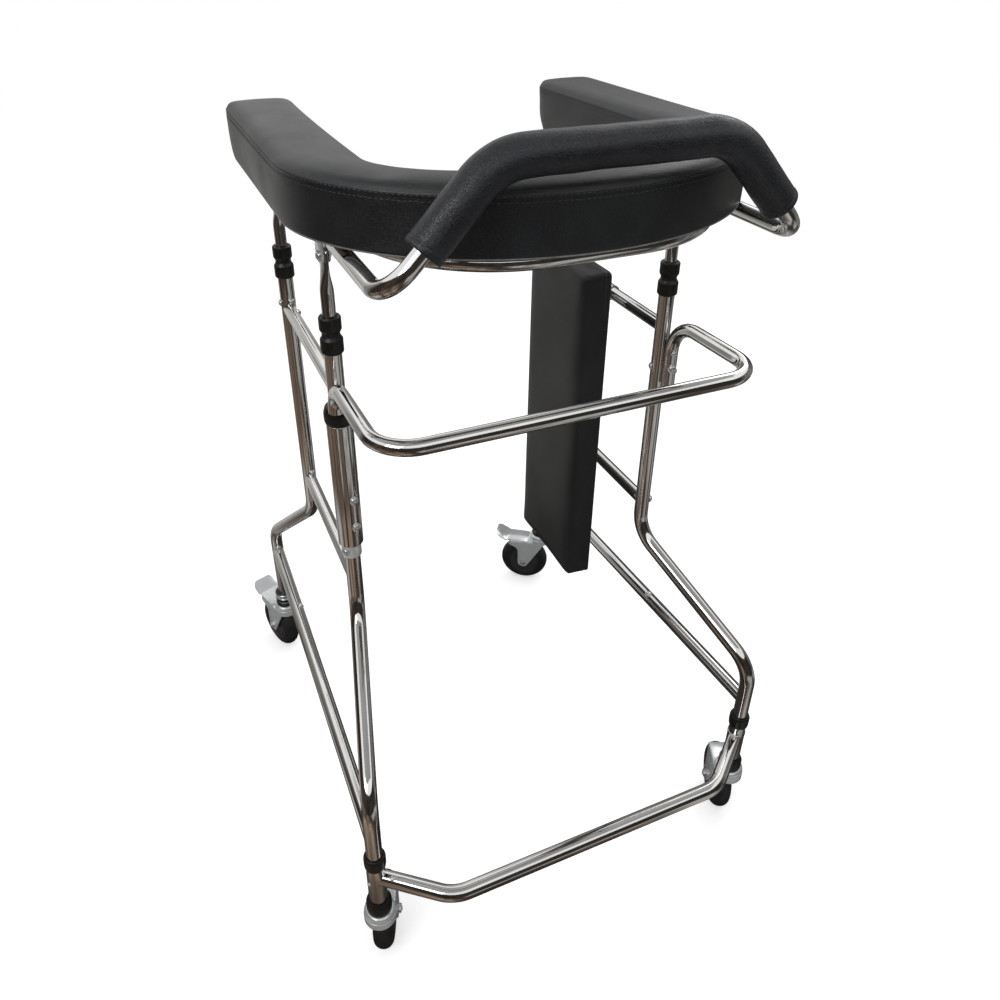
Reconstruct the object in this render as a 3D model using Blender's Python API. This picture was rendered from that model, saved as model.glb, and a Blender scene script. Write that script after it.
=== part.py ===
# Wheeled standing walker: chrome tube frame, horseshoe forearm pad, braked swivel casters
import math

import bmesh
import bpy
from mathutils import Matrix, Quaternion, Vector

for old in list(bpy.data.objects):
    bpy.data.objects.remove(old, do_unlink=True)

# Driving dimensions in metres: the front is -Y, the floor is Z = 0
gap = 0.0003
round_sides = 16
bend_steps = 3

# Four posts with their bends and feet
post_x = 0.236
front_post_y = -0.108
post_spacing = 0.273
post_diameter = 0.0222
tube_wall = 0.0015
leg_bottom = 0.1555
leg_bend_radius = 0.055
front_knee_z = 0.461
front_ankle_z = 0.348
front_foot_x = 0.296
front_foot_reach = 0.234
rear_knee_z = 0.455
rear_ankle_z = 0.306
rear_foot_x = 0.287
rear_foot_reach = 0.162

# Rails between the posts; the upper ones set the height of the whole top
side_rail_diameter = 0.0191
upper_rail_z = 0.820
post_above_rail = 0.066
mid_rail_z = 0.520
lower_rail_diameter = 0.0213
lower_rail_front_z = 0.283
lower_rail_rear_z = 0.260

crossbar_diameter = 0.0222
crossbar_z = 0.202
crossbar_half_width = 0.209
crossbar_reach = 0.301
crossbar_bend_radius = 0.060

guard_diameter = 0.0191
guard_above_rail = 0.023
guard_corner_x = 0.241
guard_reach = 0.202
guard_corner_radius = 0.048
guard_arch_radius = 0.032
guard_splay_angle = math.radians(19.0)
guard_right_drop = 0.075

bolt_head_radius = 0.0050
bolt_head_height = 0.0036
small_head_radius = 0.0032
bolt_shank_radius = 0.0030
head_sink = 0.0008

bush_diameter = 0.0280
bush_height = 0.0235
bush_lip = 0.0040
nut_diameter = 0.0284
nut_height = 0.0260
nut_waist = 0.0018
slide_clearance = 0.0013
lock_clearance = 0.0004

inner_post_length = 0.316
tab_above_post = 0.104
tab_thickness = 0.0060
tab_width = 0.0210
tab_flat_length = 0.024
tab_taper_length = 0.022

socket_sleeve_diameter = 0.0340
socket_below_rail = 0.055
socket_sleeve_length = 0.187
socket_bolt_spacing = 0.043
socket_bolt_margin = 0.028
socket_bolt_angle = math.radians(-71.0)
socket_collar_diameter = 0.0400
socket_collar_height = 0.033
socket_collar_offset = 0.004
band_wall = 0.0018
band_height = 0.021
band_ear_length = 0.012
band_ear_thickness = 0.0016
band_ear_angle = math.radians(155.0)

foot_sleeve_diameter = 0.0262
foot_sleeve_length = 0.0710
foot_sleeve_lift = 0.001
foot_collar_diameter = 0.0300
foot_collar_height = 0.0215

pad_lift = 0.045
pad_height = 0.071
pad_half_width = 0.281
pad_arm_width = 0.089
pad_front_reach = 0.228
pad_front_width = 0.070
pad_inner_start = 0.045
pad_rear_y = 0.228
pad_corner_radius = 0.014
pad_edge_round = 0.0090
pad_rear_sweep = 0.022
pad_sweep_height = 0.026
board_thickness = 0.010
board_inset = 0.007

support_tube_diameter = 0.0191
support_tube_x = 0.208
support_tube_reach = 0.198
support_tube_rear = 0.205
support_tube_radius = 0.155

handle_diameter = 0.0191
handle_leg_x = 0.235
handle_leg_drop = 0.0050
handle_reach = 0.2285
handle_leg_rear = 0.050
handle_rise = 0.101
handle_top_x = 0.1245
handle_top_reach = 0.2275
handle_low_radius = 0.038
handle_top_radius = 0.0685
handle_plug_length = 0.022
handle_plug_width = 0.018
grip_diameter = 0.0400
grip_low_share = 0.34

bracket_width = 0.030
bracket_plate = 0.0020
bracket_ear_radius = 0.0115
bracket_flange = 0.004

# Flip-up seat board on the right side frame; its rests land on the left upper rail
seat_inner_x = 0.150
seat_thickness = 0.041
seat_width = 0.176
seat_top_above_rail = 0.063
seat_tail = 0.001
seat_shift_y = 0.0255
seat_edge_radius = 0.007
seat_clip_width = 0.024
seat_clip_wall = 0.0025
seat_clip_spacing = 0.110
seat_clip_plate = 0.003
seat_clip_plate_height = 0.050
seat_clip_plate_width = 0.034
seat_rest_height = 0.022
seat_turn_clearance = 0.0006

wheel_diameter = 0.104
wheel_width = 0.029
wheel_tread_radius = 0.009
wheel_recess = 0.004
hub_radius = 0.033
hub_boss_radius = 0.009
hub_boss_width = 0.0325
axle_radius = 0.0040
axle_clearance = 0.00025
front_trail = 0.042
rear_trail = 0.034
fork_plate = 0.0025
fork_gap = 0.0350
front_wheel_clearance = 0.0080
rear_wheel_clearance = 0.0045
fork_head_radius = 0.0228
fork_head_height = 0.0180
fork_axle_end_radius = 0.0125
fork_stem_reach = 0.0100
fork_skirt = 0.0040
fork_ear_length = 0.034
axle_nut_radius = 0.0068
axle_nut_height = 0.0045
king_pin_radius = 0.0050
king_pin_height = 0.020
socket_radius = 0.0178
socket_groove = 0.0026
socket_ring_count = 5
socket_spigot_height = 0.028
pedal_plate = 0.0022
pedal_tongue_width = 0.0400
pedal_paddle_width = 0.0450
pedal_pivot_reach = 0.027
pedal_heel_reach = 0.0365
pedal_tip_reach = 0.0640
pedal_rise = 0.0145
pedal_barrel_radius = 0.0036
pedal_stem_clearance = 0.003
king_pin_clearance = 0.002

caster_turn = {
    "front_left": math.radians(68.0),
    "front_right": math.radians(64.0),
    "rear_left": math.radians(109.0),
    "rear_right": math.radians(145.0),
}

# Sizes worked out from the driving ones
post_radius = post_diameter / 2
bore_radius = post_radius - tube_wall
inner_radius = bore_radius - slide_clearance
rear_post_y = front_post_y + post_spacing
side_rail_radius = side_rail_diameter / 2
lower_rail_radius = lower_rail_diameter / 2
crossbar_radius = crossbar_diameter / 2
guard_radius = guard_diameter / 2
post_top = upper_rail_z + post_above_rail
guard_z = upper_rail_z + guard_above_rail
guard_right_end_z = guard_z - guard_right_drop
socket_sleeve_top = upper_rail_z - socket_below_rail
socket_sleeve_bottom = socket_sleeve_top - socket_sleeve_length
tab_pivot_z = post_top + tab_above_post
pad_bottom_z = tab_pivot_z + pad_lift
pad_top_z = pad_bottom_z + pad_height
handle_top_z = pad_bottom_z + handle_rise
front_foot_y = front_post_y - front_foot_reach
rear_foot_y = rear_post_y + rear_foot_reach
foot_sleeve_bottom = leg_bottom + foot_sleeve_lift
foot_sleeve_top = foot_sleeve_bottom + foot_sleeve_length
bush_top = post_top + bush_lip
bush_bottom = bush_top - bush_height
nut_bottom = bush_top + gap
nut_top = nut_bottom + nut_height
wheel_radius = wheel_diameter / 2
trail = {"front": front_trail, "rear": rear_trail}
fork_top = {"front": wheel_diameter + front_wheel_clearance, "rear": wheel_diameter + rear_wheel_clearance}

# Materials: base colour, metallic, roughness
finishes = {
    "chrome": ((0.80, 0.80, 0.81, 1.0), 1.0, 0.12),
    "zinc": ((0.62, 0.64, 0.66, 1.0), 1.0, 0.35),
    "black_plastic": ((0.02, 0.02, 0.02, 1.0), 0.0, 0.45),
    "black_leather": ((0.025, 0.026, 0.028, 1.0), 0.0, 0.42),
    "grip_foam": ((0.022, 0.023, 0.026, 1.0), 0.0, 0.50),
    "plywood": ((0.36, 0.25, 0.15, 1.0), 0.0, 0.70),
    "tyre_rubber": ((0.022, 0.022, 0.022, 1.0), 0.0, 0.60),
}


def finish_object(name, mesh, finish, round_piece=True, location=(0.0, 0.0, 0.0), turn=0.0):
    """Links a mesh to the scene as a named piece with a material of its own."""
    colour, metallic, roughness = finishes[finish]
    material = bpy.data.materials.new(name + "_" + finish)
    material.use_nodes = True
    shader = material.node_tree.nodes["Principled BSDF"]
    shader.inputs["Base Color"].default_value = colour
    shader.inputs["Metallic"].default_value = metallic
    shader.inputs["Roughness"].default_value = roughness
    material.diffuse_color = colour
    mesh.materials.clear()
    mesh.materials.append(material)
    if round_piece:
        mesh.shade_smooth()
        mesh.set_sharp_from_angle(angle=math.radians(32.0))
    piece = bpy.data.objects.new(name, mesh)
    piece.location = location
    piece.rotation_euler = (0.0, 0.0, turn)
    bpy.context.scene.collection.objects.link(piece)
    return piece


def mesh_from(bm, name="shape"):
    bmesh.ops.remove_doubles(bm, verts=bm.verts, dist=0.000005)
    bmesh.ops.recalc_face_normals(bm, faces=bm.faces)
    mesh = bpy.data.meshes.new(name)
    bm.to_mesh(mesh)
    bm.free()
    return mesh


def turned(profile, steps=round_sides, hollow=False):
    """A profile of (radius, height) points turned round Z; a hollow one is a closed ring."""
    bm = bmesh.new()
    rings = []
    for radius, height in profile:
        if radius == 0.0:
            rings.append([bm.verts.new((0.0, 0.0, height))])
            continue
        ring = []
        for i in range(steps):
            a = 2 * math.pi * i / steps
            ring.append(bm.verts.new((radius * math.cos(a), radius * math.sin(a), height)))
        rings.append(ring)
    pairs = list(zip(rings, rings[1:]))
    if hollow:
        pairs.append((rings[-1], rings[0]))
    for low, high in pairs:
        for i in range(steps):
            j = (i + 1) % steps
            if len(low) == 1 and len(high) == 1:
                break
            if len(low) == 1:
                bm.faces.new((low[0], high[i], high[j]))
            elif len(high) == 1:
                bm.faces.new((low[i], low[j], high[0]))
            else:
                bm.faces.new((low[i], low[j], high[j], high[i]))
    return mesh_from(bm)


def pin(radius, half, steps=12):
    return turned([(0.0, -half), (radius, -half), (radius, half), (0.0, half)], steps)


def bent_path(corners, radii, steps=bend_steps):
    """Points and directions along straight runs joined by round bends at the inner corners."""
    corners = [Vector(c) for c in corners]
    points = [corners[0]]
    directions = [(corners[1] - corners[0]).normalized()]
    for k in range(1, len(corners) - 1):
        into = (corners[k] - corners[k - 1]).normalized()
        out = (corners[k + 1] - corners[k]).normalized()
        turn = into.angle(out)
        setback = radii[k - 1] * math.tan(turn / 2)
        centre = corners[k] - into * setback + (out - into * into.dot(out)).normalized() * radii[k - 1]
        axis = into.cross(out).normalized()
        arm = corners[k] - into * setback - centre
        for i in range(steps + 1):
            spin = Quaternion(axis, turn * i / steps)
            points.append(centre + spin @ arm)
            directions.append(spin @ into)
    points.append(corners[-1])
    directions.append((corners[-1] - corners[-2]).normalized())
    return points, directions


def swept(points, directions, radii, sides=round_sides, flats=None):
    """Rings of the given radii carried along a path without twist; flats scales each ring."""
    bm = bmesh.new()
    side = directions[0].orthogonal().normalized()
    if abs(directions[0].z) > 0.9:
        side = Vector((1.0, 0.0, 0.0))
    last = directions[0]
    rings = []
    for k, (point, way) in enumerate(zip(points, directions)):
        side = last.rotation_difference(way) @ side
        side = (side - way * side.dot(way)).normalized()
        up = way.cross(side)
        last = way
        wide, tall = flats[k] if flats else (1.0, 1.0)
        ring = []
        for i in range(sides):
            a = 2 * math.pi * i / sides
            offset = side * (radii[k] * wide * math.cos(a)) + up * (radii[k] * tall * math.sin(a))
            ring.append(bm.verts.new(point + offset))
        rings.append(ring)
    return bm, rings


def skin(bm, rings, flip=False):
    for low, high in zip(rings, rings[1:]):
        for i in range(len(low)):
            j = (i + 1) % len(low)
            face = (low[i], low[j], high[j], high[i])
            bm.faces.new(tuple(reversed(face)) if flip else face)


def rod(corners, bends, radius, sides=round_sides, steps=bend_steps):
    """A solid round bar along bent runs."""
    points, directions = bent_path(corners, bends, steps)
    bm, rings = swept(points, directions, [radius] * len(points), sides)
    skin(bm, rings)
    bm.faces.new(rings[0])
    bm.faces.new(rings[-1])
    return mesh_from(bm)


def pipe(corners, bends, radius, bore, sides=round_sides, steps=bend_steps):
    """A tube open at both ends along bent runs."""
    points, directions = bent_path(corners, bends, steps)
    bm, outer = swept(points, directions, [radius] * len(points), sides)
    skin(bm, outer)
    inner_bm, inner = swept(points, directions, [bore] * len(points), sides)
    copies = [[bm.verts.new(v.co) for v in ring] for ring in inner]
    inner_bm.free()
    skin(bm, copies, flip=True)
    for out_ring, in_ring in ((outer[0], copies[0]), (outer[-1], copies[-1])):
        for i in range(sides):
            j = (i + 1) % sides
            bm.faces.new((out_ring[i], out_ring[j], in_ring[j], in_ring[i]))
    return mesh_from(bm)


def block(low, high, bevel=0.0, segments=2):
    bm = bmesh.new()
    low, high = Vector(low), Vector(high)
    bmesh.ops.create_cube(bm, size=1.0)
    bmesh.ops.scale(bm, vec=high - low, verts=bm.verts)
    bmesh.ops.translate(bm, vec=(low + high) / 2, verts=bm.verts)
    if bevel:
        bmesh.ops.bevel(bm, geom=bm.edges, offset=bevel, segments=segments, affect="EDGES", profile=0.5)
    return mesh_from(bm)


def plate(outline, axis, start, end):
    """A flat outline in the plane across axis, extruded from start to end along it."""
    bm = bmesh.new()
    place = {
        "X": lambda a, b, d: (d, a, b),
        "Y": lambda a, b, d: (a, d, b),
        "Z": lambda a, b, d: (a, b, d),
    }[axis]
    face = bm.faces.new([bm.verts.new(place(a, b, start)) for a, b in outline])
    grown = bmesh.ops.extrude_face_region(bm, geom=[face])
    verts = [g for g in grown["geom"] if isinstance(g, bmesh.types.BMVert)]
    bmesh.ops.translate(bm, vec=place(0.0, 0.0, end - start), verts=verts)
    return mesh_from(bm)


def placed(mesh, matrix):
    copy = mesh.copy()
    copy.transform(matrix)
    return copy


def combined(mesh, operation, others):
    """The mesh after a Boolean with each of the others, one after another."""
    base = bpy.data.objects.new("base", mesh)
    bpy.context.scene.collection.objects.link(base)
    helpers = []
    for other in others:
        helper = bpy.data.objects.new("helper", other)
        helper.hide_render = True
        helper.display_type = "WIRE"
        bpy.context.scene.collection.objects.link(helper)
        modifier = base.modifiers.new("cut", "BOOLEAN")
        modifier.solver = "EXACT"
        modifier.operation = operation
        modifier.object = helper
        helpers.append(helper)
    bpy.context.view_layer.update()
    graph = bpy.context.evaluated_depsgraph_get()
    result = bpy.data.meshes.new_from_object(base.evaluated_get(graph))
    for thing in helpers + [base]:
        bpy.data.objects.remove(thing, do_unlink=True)
    return result


def dome(place, way, radius=bolt_head_radius, height=bolt_head_height, sink=head_sink, sides=10):
    """A round bolt head that stands on a surface at place and faces along way."""
    profile = [(0.0, -sink), (radius, -sink), (radius, 0.15 * height)]
    for i in range(1, 3):
        a = math.radians(30.0 * i)
        profile.append((radius * math.cos(a), height * (0.15 + 0.85 * math.sin(a))))
    profile.append((0.0, height))
    mesh = turned(profile, sides)
    spin = Vector((0.0, 0.0, 1.0)).rotation_difference(Vector(way).normalized())
    return placed(mesh, Matrix.Translation(Vector(place)) @ spin.to_matrix().to_4x4())


def arc(centre, radius, start, end, steps):
    points = []
    for i in range(steps + 1):
        a = math.radians(start + (end - start) * i / steps)
        points.append((centre[0] + radius * math.cos(a), centre[1] + radius * math.sin(a)))
    return points


# Post and foot places, with side -1 on the left and +1 on the right
sides = {"left": -1, "right": 1}
ends = {"front": front_post_y, "rear": rear_post_y}
feet = {
    ("front", "left"): Vector((-front_foot_x, front_foot_y, 0.0)),
    ("front", "right"): Vector((front_foot_x, front_foot_y, 0.0)),
    ("rear", "left"): Vector((-rear_foot_x, rear_foot_y, 0.0)),
    ("rear", "right"): Vector((rear_foot_x, rear_foot_y, 0.0)),
}


def post_corners(end, side):
    x, y = sides[side] * post_x, ends[end]
    foot = feet[(end, side)]
    knee_z, ankle_z = (front_knee_z, front_ankle_z) if end == "front" else (rear_knee_z, rear_ankle_z)
    return [(x, y, post_top), (x, y, knee_z), (foot.x, foot.y, ankle_z), (foot.x, foot.y, leg_bottom)]


def post_clearance(end, side, grow=gap):
    return rod(post_corners(end, side), [leg_bend_radius] * 2, post_radius + grow)


# Posts, bent outwards to the feet, with the heads of the bolts that hold the rails
for side, s in sides.items():
    for end, y in ends.items():
        outward = -1 if end == "front" else 1
        heads = []
        bolt_heights = (mid_rail_z,) if end == "front" else (upper_rail_z, mid_rail_z)
        for z in bolt_heights:
            heads.append(dome((s * post_x, y + outward * post_radius * 0.985, z), (0, outward, 0)))
        foot = feet[(end, side)]
        rail_z = lower_rail_front_z if end == "front" else lower_rail_rear_z
        heads.append(dome((foot.x, foot.y + outward * post_radius * 0.985, rail_z), (0, outward, 0)))
        body = pipe(post_corners(end, side), [leg_bend_radius] * 2, post_radius, bore_radius)
        finish_object(f"{side}_{end}_post", combined(body, "UNION", heads), "chrome")

# Side rails, saddle-cut to the posts at both ends
for side, s in sides.items():
    cutters = [post_clearance("front", side), post_clearance("rear", side)]
    for label, z in (("upper", upper_rail_z), ("mid", mid_rail_z)):
        bar = rod([(s * post_x, front_post_y, z), (s * post_x, rear_post_y, z)], [], side_rail_radius)
        bar = combined(bar, "DIFFERENCE", [cutter.copy() for cutter in cutters])
        finish_object(f"{side}_{label}_rail", bar, "chrome")
    front, rear = feet[("front", side)].copy(), feet[("rear", side)].copy()
    front.z, rear.z = lower_rail_front_z, lower_rail_rear_z
    bar = rod([front, rear], [], lower_rail_radius)
    finish_object(f"{side}_lower_rail", combined(bar, "DIFFERENCE", cutters), "chrome")

# Sleeves over the front feet, which carry the crossbar and its bolts
foot_sleeve_radius = foot_sleeve_diameter / 2
for side, s in sides.items():
    foot = feet[("front", side)]
    ring = turned([
        (post_radius + gap, foot_sleeve_bottom),
        (foot_sleeve_radius - 0.0004, foot_sleeve_bottom),
        (foot_sleeve_radius, foot_sleeve_bottom + 0.0008),
        (foot_sleeve_radius, foot_sleeve_top - 0.0008),
        (foot_sleeve_radius - 0.0004, foot_sleeve_top),
        (post_radius + gap, foot_sleeve_top),
    ], hollow=True)
    bar_y = front_post_y - crossbar_reach
    to_bar = Vector((foot.x - s * crossbar_half_width, foot.y - bar_y, 0.0)).normalized()
    bolt_way = Vector((s * abs(to_bar.x), abs(to_bar.y), 0.0))
    bolt_place = bolt_way * foot_sleeve_radius * 0.985 + Vector((0, 0, crossbar_z))
    ring = combined(ring, "UNION", [dome(bolt_place, bolt_way)])
    finish_object(f"{side}_foot_sleeve", placed(ring, Matrix.Translation(foot)), "zinc")
    collar_bottom = foot_sleeve_top + gap
    collar_radius = foot_collar_diameter / 2
    collar = turned([
        (post_radius + gap, collar_bottom),
        (collar_radius - 0.0015, collar_bottom),
        (collar_radius, collar_bottom + 0.002),
        (collar_radius, collar_bottom + foot_collar_height - 0.003),
        (collar_radius - 0.0020, collar_bottom + foot_collar_height),
        (post_radius + gap, collar_bottom + foot_collar_height),
    ], hollow=True)
    finish_object(f"{side}_foot_collar", placed(collar, Matrix.Translation(foot)), "black_plastic")

# Front crossbar, bowed forwards and saddle-cut to the foot sleeves
bar = rod([
    feet[("front", "left")] + Vector((0, 0, crossbar_z)),
    (-crossbar_half_width, front_post_y - crossbar_reach, crossbar_z),
    (crossbar_half_width, front_post_y - crossbar_reach, crossbar_z),
    feet[("front", "right")] + Vector((0, 0, crossbar_z)),
], [crossbar_bend_radius] * 2, crossbar_radius)
cutters = []
for side in sides:
    cutter = rod([(0, 0, leg_bottom - 0.05), (0, 0, foot_sleeve_top + 0.05)], [], foot_sleeve_radius + gap)
    cutters.append(placed(cutter, Matrix.Translation(feet[("front", side)])))
finish_object("front_crossbar", combined(bar, "DIFFERENCE", cutters), "chrome")

# Guard bar round the front at waist height; its arms arch down beside the front posts
leg_gap = post_radius + guard_radius + 2 * gap
leg_x = post_x + leg_gap * math.sin(guard_splay_angle)
leg_y = front_post_y - leg_gap * math.cos(guard_splay_angle)
socket_collar_bottom = socket_sleeve_top + gap
socket_collar_top = socket_collar_bottom + socket_collar_height
guard_left_end_z = socket_collar_top + gap
guard_front_y = front_post_y - guard_reach
bar = rod([
    (-leg_x, leg_y, guard_left_end_z),
    (-leg_x, leg_y, guard_z),
    (-guard_corner_x, guard_front_y, guard_z),
    (guard_corner_x, guard_front_y, guard_z),
    (leg_x, leg_y, guard_z),
    (leg_x, leg_y, guard_right_end_z),
], [guard_arch_radius, guard_corner_radius, guard_corner_radius, guard_arch_radius], guard_radius)
head_y = leg_y - guard_radius + head_sink / 2
heads = [
    dome((leg_x, head_y, guard_right_end_z + 2 * bolt_head_radius), (0, -1, 0)),
    dome((leg_x, head_y, guard_right_end_z + 6 * bolt_head_radius), (0, -1, 0), small_head_radius),
    dome((leg_x + guard_radius - head_sink / 2, leg_y, guard_right_end_z + 2 * bolt_head_radius), (1, 0, 0),
         small_head_radius),
]
finish_object("guard_bar", combined(bar, "UNION", heads), "chrome")

# Socket that holds the left end of the guard bar to the front post
sleeve_radius = socket_sleeve_diameter / 2
ring = turned([
    (post_radius + gap, socket_sleeve_bottom),
    (sleeve_radius - 0.001, socket_sleeve_bottom),
    (sleeve_radius, socket_sleeve_bottom + 0.001),
    (sleeve_radius, socket_sleeve_top - 0.001),
    (sleeve_radius - 0.001, socket_sleeve_top),
    (post_radius + gap, socket_sleeve_top),
], steps=20, hollow=True)
bolt_way = Vector((math.cos(socket_bolt_angle), math.sin(socket_bolt_angle), 0.0))
low_bolt_z = socket_sleeve_bottom + socket_bolt_margin
heads = []
for z, radius in (
    (low_bolt_z, bolt_head_radius),
    (low_bolt_z + socket_bolt_spacing, bolt_head_radius),
    (low_bolt_z + socket_bolt_spacing + 5 * bolt_head_radius, small_head_radius),
):
    heads.append(dome(bolt_way * (sleeve_radius - head_sink / 2) + Vector((0, 0, z)), bolt_way, radius))
ring = combined(ring, "UNION", heads)
left_post_place = Matrix.Translation(Vector((-post_x, front_post_y, 0.0)))
finish_object("guard_socket_sleeve", placed(ring, left_post_place), "chrome")

collar_radius = socket_collar_diameter / 2
collar_bore = turned([
    (0.0, socket_collar_bottom - 0.01),
    (post_radius + gap, socket_collar_bottom - 0.01),
    (post_radius + gap, socket_collar_top + 0.01),
    (0.0, socket_collar_top + 0.01),
])
collar = turned([
    (0.0, socket_collar_bottom),
    (collar_radius - 0.0015, socket_collar_bottom),
    (collar_radius, socket_collar_bottom + 0.002),
    (collar_radius, socket_collar_top - 0.006),
    (collar_radius - 0.0015, socket_collar_top - 0.002),
    (collar_radius - 0.004, socket_collar_top),
    (0.0, socket_collar_top),
], steps=24)
collar_shift = Vector((-leg_x + post_x, leg_y - front_post_y, 0.0)).normalized() * socket_collar_offset
collar = placed(collar, Matrix.Translation(collar_shift))
collar = combined(collar, "DIFFERENCE", [collar_bore])
finish_object("guard_socket_collar", placed(collar, left_post_place), "black_plastic")

band_top = socket_sleeve_bottom - gap
band_bottom = band_top - band_height
ring = turned([
    (post_radius + gap, band_bottom),
    (post_radius + gap + band_wall, band_bottom),
    (post_radius + gap + band_wall, band_top),
    (post_radius + gap, band_top),
], steps=20, hollow=True)
ear_start = post_radius + gap + band_wall * 0.5
ears = []
for offset in (-1, 1):
    low = offset * (band_ear_thickness * 1.5)
    ears.append(block(
        (ear_start, low - band_ear_thickness / 2, band_bottom + 0.001),
        (ear_start + band_ear_length, low + band_ear_thickness / 2, band_top - 0.001),
    ))
ear_bolt_x = ear_start + band_ear_length * 0.6
band_middle = (band_top + band_bottom) / 2
bolt_half = 4 * band_ear_thickness
ears.append(placed(
    pin(bolt_shank_radius, bolt_half),
    Matrix.Translation((ear_bolt_x, 0, band_middle)) @ Matrix.Rotation(math.pi / 2, 4, "X"),
))
ears.append(dome((ear_bolt_x, -2 * band_ear_thickness, band_middle), (0, -1, 0)))
ring = combined(ring, "UNION", ears)
ear_turn = Matrix.Rotation(band_ear_angle, 4, "Z")
finish_object("guard_band_clamp", placed(ring, left_post_place @ ear_turn), "zinc")

# Two-lobed height locks: a fixed bush on the post end and a clamp nut that turns on the inner post
nut_bore = inner_radius + lock_clearance
bush_radius = bush_diameter / 2
bush = turned([
    (post_radius + gap, bush_bottom),
    (bush_radius - 0.0015, bush_bottom),
    (bush_radius, bush_bottom + 0.003),
    (bush_radius, bush_top - 0.007),
    (bush_radius - nut_waist - 0.001, bush_top - 0.001),
    (bush_radius - nut_waist - 0.002, bush_top),
    (nut_bore, bush_top),
    (nut_bore, post_top + gap),
    (post_radius + gap, post_top + gap),
], hollow=True)
nut_radius = nut_diameter / 2
nut = turned([
    (nut_bore, nut_bottom),
    (nut_radius - nut_waist - 0.002, nut_bottom),
    (nut_radius, nut_bottom + 0.008),
    (nut_radius, nut_top - 0.005),
    (nut_radius - 0.0015, nut_top - 0.001),
    (nut_radius - 0.003, nut_top),
    (nut_bore, nut_top),
], hollow=True)

# Inner posts: round below, flattened to a tab with a pivot hole at the top
tab_top = tab_pivot_z + tab_width / 2
flat_bottom = tab_pivot_z - tab_flat_length / 2
round_top = flat_bottom - tab_taper_length
inner_bottom = tab_pivot_z - inner_post_length
flat_share = tab_thickness / 2 / inner_radius
wide_share = tab_width / 2 / inner_radius
heights = [inner_bottom, round_top, round_top + tab_taper_length / 2, flat_bottom, tab_pivot_z]
shapes = [(1, 1), (1, 1), ((1 + flat_share) / 2 + 0.1, (1 + wide_share) / 2), (flat_share, wide_share),
          (flat_share, wide_share)]
for angle in (30.0, 55.0, 75.0):
    a = math.radians(angle)
    heights.append(tab_pivot_z + tab_width / 2 * math.sin(a))
    shapes.append((flat_share, wide_share * math.cos(a)))
bm, rings = swept(
    [Vector((0, 0, z)) for z in heights],
    [Vector((0, 0, 1))] * len(heights),
    [inner_radius] * len(heights),
    flats=shapes,
)
skin(bm, rings)
bm.faces.new(rings[0])
bm.faces.new(rings[-1])
inner_post = mesh_from(bm)
pivot_hole = placed(
    pin(bolt_shank_radius + gap, inner_radius),
    Matrix.Translation((0, 0, tab_pivot_z)) @ Matrix.Rotation(math.pi / 2, 4, "Y"),
)
inner_bore = turned([
    (0.0, inner_bottom - tube_wall),
    (inner_radius - tube_wall, inner_bottom - tube_wall),
    (inner_radius - tube_wall, round_top - tab_taper_length),
    (0.0, round_top - tab_taper_length),
])
inner_post = combined(inner_post, "DIFFERENCE", [pivot_hole, inner_bore])

# Brackets under the board: two ears either side of the tab, with the pivot bolt through them
plate_top = pad_bottom_z - gap
plate_bottom = plate_top - bracket_plate
ear_inner = tab_thickness / 2 + gap
ear_outer = ear_inner + bracket_plate
shank_half = ear_outer + bolt_head_height / 2
ear_outline = [(-bracket_ear_radius, plate_bottom + bracket_plate / 4)]
ear_outline += arc((0.0, tab_pivot_z), bracket_ear_radius, 180.0, 360.0, 6)
ear_outline.append((bracket_ear_radius, plate_bottom + bracket_plate / 4))
parts = [
    plate(ear_outline, "X", ear_inner, ear_outer),
    plate(ear_outline, "X", -ear_outer, -ear_inner),
    placed(
        pin(bolt_shank_radius, shank_half),
        Matrix.Translation((0, 0, tab_pivot_z)) @ Matrix.Rotation(math.pi / 2, 4, "Y"),
    ),
    dome((-ear_outer, 0, tab_pivot_z), (-1, 0, 0)),
    dome((ear_outer, 0, tab_pivot_z), (1, 0, 0)),
]
bracket_half = bracket_width / 2
plate_half = ear_outer + bracket_flange
base = block((-plate_half, -bracket_half, plate_bottom), (plate_half, bracket_half, plate_top))
bracket = combined(base, "UNION", parts)

for side, s in sides.items():
    for end, y in ends.items():
        place = (s * post_x, y, 0.0)
        finish_object(f"{side}_{end}_post_bush", bush.copy(), "black_plastic", location=place)
        finish_object(f"{side}_{end}_clamp_nut", nut.copy(), "black_plastic", location=place)
        finish_object(f"{side}_{end}_inner_post", inner_post.copy(), "chrome", location=place)
        finish_object(f"{side}_{end}_pad_bracket", bracket.copy(), "zinc", location=place)


# Horseshoe of the pad and its board
def horseshoe(inset, rear_cut=0.0, front_steps=20, corner_steps=3):
    """Plan outline: outer edge round the front, right arm's end, inner edge back, left arm's end."""
    outer_a, outer_b = pad_half_width - inset, pad_front_reach - inset
    inner_a = pad_half_width - pad_arm_width + inset
    inner_b = pad_front_reach - pad_front_width - pad_inner_start + inset
    rear_y = pad_rear_y - inset - rear_cut
    corner = pad_corner_radius - inset
    outer, inner = [], []
    for i in range(front_steps + 1):
        a = math.pi + math.pi * i / front_steps
        outer.append((outer_a * math.cos(a), front_post_y + outer_b * math.sin(a)))
        inner.append((inner_a * math.cos(a), front_post_y - pad_inner_start + inner_b * math.sin(a)))
    right = arc((outer_a - corner, rear_y - corner), corner, 0.0, 90.0, corner_steps)
    right += arc((inner_a + corner, rear_y - corner), corner, 90.0, 180.0, corner_steps)
    left = [(-x, y) for x, y in reversed(right)]
    return outer + right + inner[::-1] + left


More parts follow.
